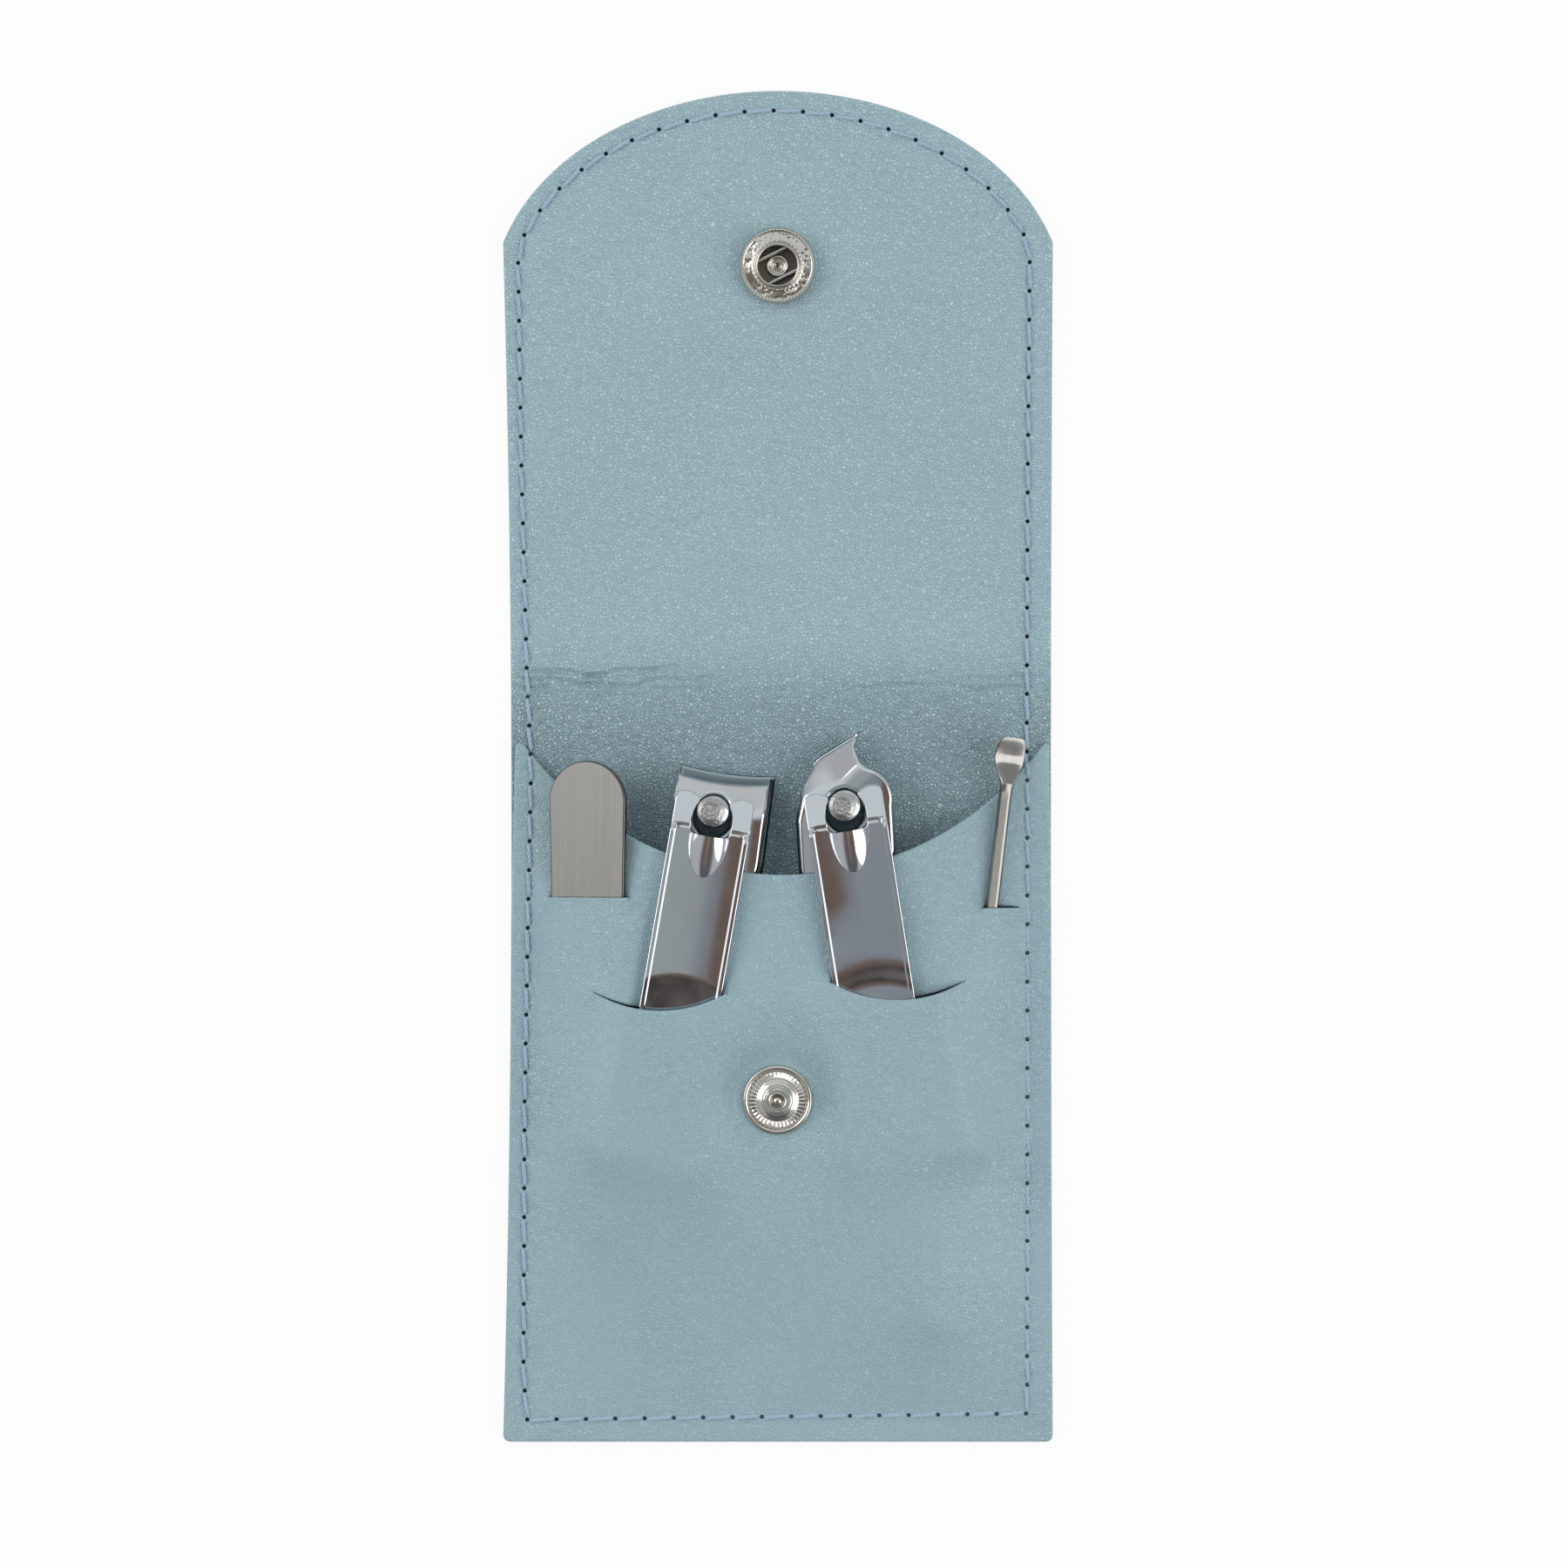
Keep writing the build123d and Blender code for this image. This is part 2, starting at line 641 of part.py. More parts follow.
def clipper_lever(name, pin_at, yaw):
    """The lever: a tray with turned-up rims, a forked front that droops, and a fulcrum dome."""
    frame = lever_frame(pin_at, yaw)
    side = side_of(frame)
    half = lever_width / 2
    crease = -1.9
    droop = (lever_front - crease) * tan(radians(fork_droop))
    top = lever_n + lever_floor
    with BuildPart() as lever:
        with BuildSketch(side):
            with BuildLine():
                Polyline(
                    (-lever_tail, lever_n), (crease, lever_n), (lever_front, lever_n - droop),
                    (lever_front, top - droop), (crease, top), (-lever_tail, top), close=True,
                )
            make_face()
        extrude(amount=half, both=True)
        with BuildSketch(frame.offset(top - 0.05)):
            for s in (-1, 1):
                with Locations((s * (half - lever_rim_width / 2), (crease - 0.6 - lever_tail) / 2)):
                    Rectangle(lever_rim_width, lever_tail + crease - 0.6)
        extrude(amount=lever_rim + 0.05)
        with BuildPart(mode=Mode.PRIVATE) as dome:
            with BuildSketch(side) as section:
                with BuildLine():
                    Polyline(
                        dome_point(0, 0), dome_point(dome_reach * 0.5, dome_end_radius * 0.66),
                        dome_point(dome_reach, dome_end_radius), dome_point(dome_reach, 0), close=True,
                    )
                make_face()
            tip = side.from_local_coords(Vector(*dome_point(0, 0)))
            foot = side.from_local_coords(Vector(*dome_point(dome_reach, 0)))
            revolve(section.sketch, axis=Axis(tip, foot - tip))
            split(bisect_by=frame.offset(top - 0.05), keep=Keep.TOP)
        add(dome.part)
        with BuildSketch(frame.offset(lever_n - 3)):
            with Locations((0, -fork_eye_back)):
                Rectangle(fork_eye, fork_eye_back + 0.3, align=(Align.CENTER, Align.MIN))
            Rectangle(fork_notch, 2 * lever_front + 2, align=(Align.CENTER, Align.MIN))
        extrude(amount=6, mode=Mode.SUBTRACT)
        with BuildSketch(frame.offset(-1)):
            with Locations((0, -lever_tail)):
                RectangleRounded(
                    lever_width, 2 * lever_tail, lever_tail_corner, align=(Align.CENTER, Align.MIN)
                )
        extrude(amount=8, mode=Mode.INTERSECT)
    lever.part.label = name + "_lever"
    return lever


clippers = {}
clippers["straight"] = clipper_leaves(
    "straight", straight_pin_at, straight_body_yaw, 0.0, 5.6, 4.4,
    straight_plan, (-5.1, 7.5, 5.6, 0.5), (-5.42, 6.84, 4.4, 0.55),
)
slant_turn = degrees(atan2(slant_tip[1] - slant_heel[1], slant_tip[0] - slant_heel[0]))
edge_off = slant_tip[1] * cos(radians(slant_turn)) - slant_tip[0] * sin(radians(slant_turn))
clippers["slant"] = clipper_leaves(
    "slant", slant_pin_at, slant_body_yaw, slant_turn, edge_off + 0.3, edge_off,
    slant_plan, (0.35, 6.5), (0.0, 6.3),
)
pieces = [
    back_cover, back_board, back_lining, spine_cover, spine_lining, flap_cover, flap_board,
    flap_lining, snap_cap, snap_socket, snap_spring, snap_stud, snap_stud_post,
]
for name, pin_at, body_yaw, lever_yaw in (
    ("straight", straight_pin_at, straight_body_yaw, straight_lever_yaw),
    ("slant", slant_pin_at, slant_body_yaw, slant_lever_yaw),
):
    pieces += clippers[name]
    pieces.append(clipper_rivet(name, pin_at, body_yaw))
    pieces.append(clipper_pin(name, pin_at, body_yaw))
    pieces.append(clipper_lever(name, pin_at, lever_yaw))

# ---------------------------------------------------------------- nail file and ear pick
tool_n = panel_thickness + soft_gap
file_face = left_deck.offset(tool_n + file_thickness)
file_frame = on_deck(file_face, file_top[0], file_top[1], 0).offset(-file_thickness)
file_half = file_width / 2
file_tail = file_tail_width / 2
slit_half = file_half - 0.25
slit_from_top = file_top[1] - file_slit_y
with BuildPart() as nail_file:
    with BuildSketch(file_frame):
        with BuildLine():
            ThreePointArc((-file_half, -file_half * 0.92), (0, 0), (file_half, -file_half * 0.92))
            Polyline(
                (file_half, -file_half * 0.92), (slit_half, -slit_from_top),
                (file_tail, -file_length + file_tail),
            )
            ThreePointArc(
                (file_tail, -file_length + file_tail), (0, -file_length), (-file_tail, -file_length + file_tail)
            )
            Polyline(
                (-file_tail, -file_length + file_tail), (-slit_half, -slit_from_top),
                (-file_half, -file_half * 0.92),
            )
        make_face()
    extrude(amount=file_thickness)
nail_file.part.label = "nail_file"

pick_face = right_deck.offset(tool_n + pick_bar_thickness)
pick_frame = on_deck(pick_face, pick_top[0], pick_top[1], pick_lean).offset(-pick_bar_thickness)
pick_half = pick_bar / 2
spoon_half = spoon_width / 2
t = pick_bar_thickness
with BuildPart() as ear_pick:
    with BuildSketch(side_of(pick_frame)):
        with BuildLine():
            ThreePointArc((0, t * 0.95), (-spoon_length * 0.42, 0.25), (-spoon_length - 0.5, t))
            Line((-spoon_length - 0.5, t), (-spoon_length - 0.5, 0))
            Line((-spoon_length - 0.5, 0), (-spoon_length * 0.62, -0.1))
            ThreePointArc((-spoon_length * 0.62, -0.1), (-spoon_length * 0.3, 0.0), (0, t * 0.95 - 0.45))
            Line((0, t * 0.95 - 0.45), (0, t * 0.95))
        make_face()
    extrude(amount=spoon_width, both=True)
    with BuildSketch(pick_frame.offset(-1)):
        with BuildLine():
            ThreePointArc((-spoon_half, -3.0), (0, 0), (spoon_half, -3.0))
            ThreePointArc((spoon_half, -3.0), (spoon_half * 0.86, -4.7), (pick_half * 0.86, -spoon_length))
            Polyline(
                (pick_half * 0.86, -spoon_length), (pick_half * 0.86, -spoon_length - 0.6),
                (-pick_half * 0.86, -spoon_length - 0.6), (-pick_half * 0.86, -spoon_length),
            )
            ThreePointArc((-pick_half * 0.86, -spoon_length), (-spoon_half * 0.86, -4.7), (-spoon_half, -3.0))
        make_face()
    extrude(amount=t + 2, mode=Mode.INTERSECT)
    bar_end = Plane(
        origin=pick_frame.from_local_coords(Vector(0, -spoon_length, 0)),
        x_dir=pick_frame.x_dir, z_dir=-pick_frame.y_dir,
    )
    with BuildSketch(bar_end) as bar_section:
        with Locations((0, t / 2)):
            Rectangle(pick_bar, t)
        chamfer(bar_section.vertices(), 0.4)
    extrude(amount=pick_length - spoon_length)
ear_pick.part.label = "ear_pick"

# ---------------------------------------------------------------- pocket panel


def mound(planes):
    """All that lies over the lining and under every one of the planes."""
    with BuildPart() as body:
        with BuildSketch(flat.offset(sheet)):
            Rectangle(2 * case_width, 2 * case_length)
        extrude(amount=30)
        for plane in planes:
            split(bisect_by=plane, keep=Keep.BOTTOM)
    return body.part


def thicker(planes):
    """The same planes, moved out by the panel's thickness."""
    return [plane.offset(panel_thickness) for plane in planes]


def front_wall(y):
    """An upright plane across the case, its outside towards the flap."""
    return Plane(origin=(0, y, 0), x_dir=(-1, 0, 0), z_dir=(0, 1, 0))


def cut_front(low, radius):
    """Cut a lip back to a curved slit whose lowest point is given."""
    with BuildSketch(flat) as disc:
        with Locations((low[0], low[1] + arc_slit_radius)):
            Circle(radius)
    extrude(disc.sketch, amount=40, mode=Mode.SUBTRACT)


arc_slit_radius = (arc_slit_width**2 / 4 + arc_slit_sagitta**2) / (2 * arc_slit_sagitta)
decks = [middle_deck, left_deck, right_deck, bottom_deck]
lever_lip = middle_deck.offset(lip_n)
file_lip = left_deck.offset(tool_n + file_thickness + soft_gap)
pick_lip = right_deck.offset(tool_n + pick_bar_thickness + soft_gap)


def over(frame, x, y):
    """The plan point over a place in a frame."""
    point = frame.from_local_coords(Vector(x, y, 0))
    return (point.X, point.Y)


def lip_walls(top, frame, start, end, left, right, leans):
    """A lip's top plane and its left, right and end walls, from start to end along a tool.

    left and right give the walls' distances from the tool's middle at the start and at the end.
    """
    left_start = over(frame, -left[0], start)
    left_end = over(frame, -left[1], end)
    right_start = over(frame, right[0], start)
    right_end = over(frame, right[1], end)
    return [
        top,
        wall(top, left_end, left_start, leans[0]),
        wall(top, right_start, right_end, leans[1]),
        wall(top, right_end, left_end, 50),
    ]


lip_inner = lever_width / 2 + lip_inner_gap
lip_outer = lever_width / 2 + lip_outer_gap
lip_end = -lever_tail - lip_end_room
straight_lever_frame = lever_frame(straight_pin_at, straight_lever_yaw).offset(lip_n)
slant_lever_frame = lever_frame(slant_pin_at, slant_lever_yaw).offset(lip_n)
straight_walls = lip_walls(
    lever_lip, straight_lever_frame, straight_slit_low[1] - straight_pin_at[1], lip_end,
    (lip_outer, lip_outer), (lip_inner, lip_inner), (38, 14),
)
slant_walls = lip_walls(
    lever_lip, slant_lever_frame, slant_slit_low[1] - slant_pin_at[1], lip_end,
    (lip_inner, lip_inner), (lip_outer, lip_outer), (8, 38),
)
file_slit_gaps = (slit_half + tool_side_gap, file_tail + tool_tail_gap)
file_walls = lip_walls(
    file_lip, file_frame.offset(file_thickness + soft_gap), -slit_from_top, -file_length - tool_end_room,
    file_slit_gaps, file_slit_gaps, (15, 4),
)
pick_slit_from_top = (pick_top[1] - pick_slit_y) / cos(radians(pick_lean))
pick_walls = lip_walls(
    pick_lip, pick_frame.offset(pick_bar_thickness + soft_gap),
    -pick_slit_from_top, -pick_length - tool_end_room,
    (pick_half + tool_side_gap, pick_half + tool_tail_gap),
    (pick_half + 3 * tool_side_gap, pick_half + tool_tail_gap), (15, 20),
)

panel_side_y = panel_top_y - 23  # where the panel's sides meet the case's
with BuildSketch(flat.offset(sheet)) as panel_outline:
    add(case_outline)
    with BuildSketch(flat.offset(sheet), mode=Mode.INTERSECT):
        with BuildLine():
            Polyline(
                (-half_width - 0.5, bottom_y - 1), (-half_width - 0.5, panel_side_y),
                (-half_width + left_waist + panel_inset, panel_top_y),
                (half_width - right_waist - panel_inset * 0.5, panel_top_y),
                (half_width + 0.5, panel_side_y), (half_width + 0.5, bottom_y - 1), close=True,
            )
        make_face()
    fillet(panel_outline.vertices().group_by(Axis.Y)[-1], panel_corner_radius)

with BuildPart() as pocket_panel:
    extrude(panel_outline.sketch, amount=panel_thickness)
    add(mound(thicker(decks)))
    for low, walls in ((straight_slit_low, straight_walls), (slant_slit_low, slant_walls)):
        with BuildPart(mode=Mode.PRIVATE) as lip:
            add(mound(thicker(walls)))
            cut_front(low, arc_slit_radius)
        add(lip.part)
    for slit_y, walls in ((file_slit_y, file_walls), (pick_slit_y, pick_walls)):
        add(mound(thicker(walls) + [front_wall(slit_y)]))
    add(mound(decks), mode=Mode.SUBTRACT)
    for low, walls in ((straight_slit_low, straight_walls), (slant_slit_low, slant_walls)):
        with BuildPart(mode=Mode.PRIVATE) as hollow:
            add(mound(walls))
            cut_front(low, arc_slit_radius - slit_gap)
        add(hollow.part, mode=Mode.SUBTRACT)
    for slit_y, walls in ((file_slit_y, file_walls), (pick_slit_y, pick_walls)):
        add(mound(walls + [front_wall(slit_y + slit_gap)]), mode=Mode.SUBTRACT)
    extrude(panel_outline.sketch, amount=25, mode=Mode.INTERSECT)
    with BuildSketch(flat):
        with Locations(scoop_centre):
            Circle(scoop_radius)
    extrude(amount=30, mode=Mode.SUBTRACT)
    with BuildSketch(stud_frame.offset(-3)):
        Circle(stud_bore)
    extrude(amount=5, mode=Mode.SUBTRACT)
pocket_panel.part.label = "pocket_panel"
pieces += [nail_file, ear_pick, pocket_panel]

for piece in pieces:
    export_step(piece.part, f"parts/{piece.part.label}.step")
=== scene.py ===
"""Manicure set in a snap-shut leather case: the looks, built around the packed CAD part.

Sizes in the text are millimetres in the part's own frame. Meshes are made in metres.
"""

import math

import bpy
import numpy as np
from mathutils import Matrix, Vector, geometry


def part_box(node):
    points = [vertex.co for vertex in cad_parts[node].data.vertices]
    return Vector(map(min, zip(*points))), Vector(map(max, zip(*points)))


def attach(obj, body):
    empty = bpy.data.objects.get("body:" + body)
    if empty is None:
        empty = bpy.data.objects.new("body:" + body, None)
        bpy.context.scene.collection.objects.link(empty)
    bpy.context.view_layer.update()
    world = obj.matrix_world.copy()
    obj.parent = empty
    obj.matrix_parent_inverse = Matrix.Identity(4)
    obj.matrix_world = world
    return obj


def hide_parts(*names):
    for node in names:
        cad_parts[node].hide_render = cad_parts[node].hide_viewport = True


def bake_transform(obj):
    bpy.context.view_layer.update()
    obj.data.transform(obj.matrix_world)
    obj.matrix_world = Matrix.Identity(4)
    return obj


bl_info = {
    "name": "Manicure Set Case",
    "version": (1, 0, 0),
    "blender": (4, 5, 0),
    "location": "View3D > Sidebar > Manicure",
    "description": "Builds the leather case, its snap and its four tools around the CAD frame",
    "category": "Object",
}

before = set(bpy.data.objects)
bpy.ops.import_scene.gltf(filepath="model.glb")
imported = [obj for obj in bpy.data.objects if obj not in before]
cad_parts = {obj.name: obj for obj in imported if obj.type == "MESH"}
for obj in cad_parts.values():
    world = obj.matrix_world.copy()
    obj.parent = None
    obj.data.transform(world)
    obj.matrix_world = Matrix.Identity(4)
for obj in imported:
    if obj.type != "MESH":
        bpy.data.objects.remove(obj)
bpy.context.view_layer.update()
MM = 0.001


def node_box(name):
    """A CAD node's lowest and highest corners in mm."""
    low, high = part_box(name)
    return np.array(low) / MM, np.array(high) / MM


# ---------------------------------------------------------------- places taken from the frame, mm
BACK_LOW, BACK_HIGH = node_box("back_cover")
FLAP_HIGH = node_box("flap_cover")[1]
HALF_WIDTH = BACK_HIGH[0]
BOTTOM_Y = BACK_LOW[1]
TIP_Y = FLAP_HIGH[1]
COVER_TOP = BACK_HIGH[2]
SHEET = node_box("back_lining")[1][2]  # the top of the lining
LOWER_HINGE = BACK_HIGH[1] + 0.15
UPPER_HINGE = node_box("spine_cover")[1][1] + 0.15
FOLD_Y = (LOWER_HINGE + UPPER_HINGE) / 2
ARCH_RX = HALF_WIDTH + 1.6
ARCH_RY = 28.05
ARCH_Y = TIP_Y - ARCH_RY
SHOULDER_Y = ARCH_Y + ARCH_RY * math.sqrt(1 - (HALF_WIDTH / ARCH_RX) ** 2)
LEFT_WAIST, RIGHT_WAIST = 1.0, 0.2  # how far each side of the case is drawn in at the fold
FLAP_LIFT = 1.038  # degrees, the flap resting on the snap's cap
PANEL = 0.8  # the panel's thickness
PANEL_TOP_Y = FOLD_Y - 8.05
PANEL_SIDE_Y = PANEL_TOP_Y - 23  # up to here the panel's sides are the case's own
TOOL_SEAT = 0.3  # room under a tool
FILE_THICK, PICK_THICK = 1.0, 1.4
LIP_ROOM, LEVER_ROOM = 0.2, 0.22  # room over a tool and over a lever, under the panel's lip
SEAM_STRIP, DECK_HALF = 3.2, 17.4  # the panel's stitched strip, and half the width of its raised middle
HOLE_DEPTH = 0.62
SCOOP = (0.75, FOLD_Y + 17.55, 42.9)  # the panel's mouth is part of this circle: x, y, radius
SPLIT_Y = LOWER_HINGE + 3.05  # where the lower and the upper leather pieces meet
DECK_PITCH = math.radians(3.027)
DECK_SLOPE = math.tan(DECK_PITCH)
DECK_Y, DECK_Z = FOLD_Y - 16.65, 7.5  # the deck under the levers has this height here
LEVER_N, LEVER_FLOOR, LEVER_RIM = 1.1, 0.9, 0.6  # the room under the lever, its floor and its rims
LEVER_HALF, LEVER_LENGTH = 5.2, 47
STUD = (-0.05, FOLD_Y - 54.95)
SOCKET = (-0.05, 66.072)
# Each clipper: the place of its pin, and the lean of its leaves and of its lever in degrees.
STRAIGHT = {"pin": (-8.45, FOLD_Y - 17.01), "body": -7.5, "lever": -9.9}
SLANT = {"pin": (8.74, FOLD_Y - 16.29), "body": 3.5, "lever": 9.0}


# ---------------------------------------------------------------- settings a user can change
def linear(colour):
    """The linear RGB of an sRGB hex colour."""
    parts = [int(colour[i : i + 2], 16) / 255 for i in (1, 3, 5)]
    return tuple(c / 12.92 if c <= 0.04045 else ((c + 0.055) / 1.055) ** 2.4 for c in parts)


def colour_property(name, description, colour):
    return bpy.props.FloatVectorProperty(
        name=name, description=description, subtype="COLOR", size=3, min=0, max=1, default=linear(colour)
    )


def length_property(name, description, mm):
    return bpy.props.FloatProperty(
        name=name, description=description, default=mm * MM, min=0, soft_max=0.1, precision=5,
        subtype="DISTANCE", unit="LENGTH",
    )


def share_property(name, description, share):
    return bpy.props.FloatProperty(
        name=name, description=description, default=share, min=0, max=1, subtype="FACTOR"
    )


class ManicureLeather(bpy.types.PropertyGroup):
    """The coated leather of the case."""

    colour: colour_property("Colour", "The coating between the pebbles' highlights", "#99b5be")
    cloud: colour_property("Cloud Colour", "The darker drifts in the coating", "#95b1ba")
    # The pearl colour is partly a painted highlight on the pebbles' tops.
    pearl: colour_property("Pearl Colour", "The pearl pigment on top of the pebbles", "#e2eef0")
    grain: length_property("Grain Size", "Width of one pebble of the lining's grain", 0.42)
    panel_grain: length_property("Panel Grain Size", "Width of one pebble of the panel's grain", 0.4)
    edge: length_property("Edge Rounding", "Radius of the pressed edges", 0.3)
    mesh_step: length_property("Mesh Step", "Distance between the leather's mesh points", 0.8)


class ManicureStitching(bpy.types.PropertyGroup):
    """The seam that runs round the whole case."""

    colour: colour_property("Thread Colour", "The lit strands of the thread", "#c6dae8")
    shade: colour_property("Thread Shade", "The grooves between the strands", "#8eacc4")
    stitch: length_property("Stitch Length", "From one needle hole to the next", 3.8)
    thickness: length_property("Thread Thickness", "Width of the twisted thread", 0.54)
    hole: length_property("Needle Hole", "Width of a needle hole", 0.62)


class ManicureMetal(bpy.types.PropertyGroup):
    """The plated and brushed steels of the tools and the snap."""

    chrome: colour_property("Chrome Colour", "The clippers' plating", "#d3d5d8")
    nickel: colour_property("Nickel Colour", "The snap's plating", "#cfccc4")
    steel: colour_property("Steel Colour", "The brushed file and ear pick", "#9a9894")
    chrome_roughness: share_property("Chrome Roughness", "How matt the plating is", 0.06)
    brush: length_property("Brush Line Spacing", "Distance between the file's brush lines", 0.12)


class ManicureStage(bpy.types.PropertyGroup):
    """The floor, the lamps and the camera."""

    floor: colour_property("Floor Colour", "The pale floor", "#fdfdfd")
    lamp_power: bpy.props.FloatProperty(
        name="Lamp Power", description="Power of each of the two side lamps", default=3.8, min=0, unit="POWER"
    )
    sky: bpy.props.FloatProperty(
        name="Room Light", description="Strength of the light from all round", default=1.0, min=0, max=2
    )
    camera_height: length_property("Camera Height", "How far the camera stands above the floor", 900)


# ---------------------------------------------------------------- plan drawing
def round_angles(count):
    """Angles evenly round a whole turn."""
    return np.linspace(0, 2 * math.pi, count, endpoint=False)


def eased(share):
    """A share from 0 to 1 with a soft start and a soft end."""
    return share * share * (3 - 2 * share)


def arc_through(a, b, c, count=24):
    """Points along the circle that goes from a through b to c."""
    a, b, c = (np.array(p, float) for p in (a, b, c))
    m = 2 * np.array([b - a, c - a])
    centre = np.linalg.solve(m, np.array([b @ b - a @ a, c @ c - a @ a]))
    angles = [math.atan2(*(p - centre)[::-1]) for p in (a, b, c)]
    turn = (angles[2] - angles[0]) % (2 * math.pi)
    if (angles[1] - angles[0]) % (2 * math.pi) > turn:
        turn -= 2 * math.pi
    t = angles[0] + np.linspace(0, turn, count)
    return centre + np.hypot(*(a - centre)) * np.column_stack([np.cos(t), np.sin(t)])


def softened(loop, radius, sharp=25):
    """A closed loop with each corner over sharp degrees replaced by a small curve."""
    loop = np.array(loop, float)
    made = []
    for before, here, after in zip(np.roll(loop, 1, 0), loop, np.roll(loop, -1, 0)):
        into, out = here - before, after - here
        a, b = np.hypot(*into), np.hypot(*out)
        if a < 1e-9 or b < 1e-9:
            continue
        turn = math.degrees(math.acos(np.clip(into @ out / (a * b), -1, 1)))
        if turn < sharp:
            made.append(here)
            continue
        reach = min(radius * math.tan(math.radians(turn) / 2), a * 0.49, b * 0.49)
        p, q = here - into / a * reach, here + out / b * reach
        for t in np.linspace(0, 1, 7):
            made.append((1 - t) ** 2 * p + 2 * t * (1 - t) * here + t * t * q)
    return np.array(made)


def resampled(loop, step):
    """A closed loop whose longest side is step."""
    loop = np.asarray(loop, float)
    made = []
    for a, b in zip(loop, np.roll(loop, -1, 0)):
        n = max(1, int(math.ceil(np.hypot(*(b - a)) / step)))
        made.extend(a + (b - a) * i / n for i in range(n))
    made = np.array(made)
    apart = np.hypot(*(made - np.roll(made, 1, 0)).T)
    return made[apart > 1e-4]


def line_distance(points, starts, ends):
    """Distance from each plan point to the nearest of the given straight pieces."""
    made = np.full(len(points), 1e9)
    along = ends - starts
    length2 = np.maximum((along**2).sum(1), 1e-12)
    for i in range(0, len(points), 2000):
        p = points[i : i + 2000, None, :]
        t = np.clip(((p - starts) * along).sum(2) / length2, 0, 1)
        made[i : i + 2000] = np.sqrt((((starts + along * t[..., None]) - p) ** 2).sum(2)).min(1)
    return made


def nearest(points, places):
    """Distance from each plan point to the nearest of the given places."""
    made = np.empty(len(points))
    for i in range(0, len(points), 2000):
        made[i : i + 2000] = np.sqrt(((points[i : i + 2000, None] - places[None]) ** 2).sum(2)).min(1)
    return made


def inside(points, loop):
    """Which plan points are inside a closed loop."""
    a, b = loop, np.roll(loop, -1, 0)
    made = np.zeros(len(points), bool)
    for (ax, ay), (bx, by) in zip(a, b):
        if ay == by:
            continue
        crosses = (ay > points[:, 1]) != (by > points[:, 1])
        made ^= crosses & (points[:, 0] < (bx - ax) * (points[:, 1] - ay) / (by - ay) + ax)
    return made


def case_outline():
    """The whole open case in plan, anticlockwise from the bottom left."""
    h, low = HALF_WIDTH, BOTTOM_Y
    right = arc_through((h, low), (h - RIGHT_WAIST, FOLD_Y), (h, SHOULDER_Y), 60)
    left = arc_through((-h, SHOULDER_Y), (-h + LEFT_WAIST, FOLD_Y), (-h, low), 60)
    start = math.asin((SHOULDER_Y - ARCH_Y) / ARCH_RY)
    t = np.linspace(start, math.pi - start, 120)
    arch = np.column_stack([ARCH_RX * np.cos(t), ARCH_Y + ARCH_RY * np.sin(t)])
    return softened(np.vstack([right, arch[1:-1], left]), 1.0, 15)


def cropped(loop, y, keep_above):
    """The part of a loop on one side of a line across the case."""
    made = []
    for a, b in zip(loop, np.roll(loop, -1, 0)):
        if (a[1] > y) == keep_above:
            made.append(a)
        if (a[1] > y) != (b[1] > y):
            made.append(a + (b - a) * (y - a[1]) / (b[1] - a[1]))
    return np.array(made)


# ---------------------------------------------------------------- meshes
def object_from(name, points, faces, material, smooth=38):
    """An object from points in mm and faces, smooth except over sharp edges."""
    mesh = bpy.data.meshes.new(name)
    mesh.from_pydata((np.asarray(points) * MM).tolist(), [], [list(f) for f in faces])
    mesh.validate()
    mesh.polygons.foreach_set("use_smooth", np.ones(len(mesh.polygons), bool))
    mesh.set_sharp_from_angle(angle=math.radians(smooth))
    mesh.materials.append(material)
    made = bpy.data.objects.new(name, mesh)
    bpy.context.scene.collection.objects.link(made)
    return made


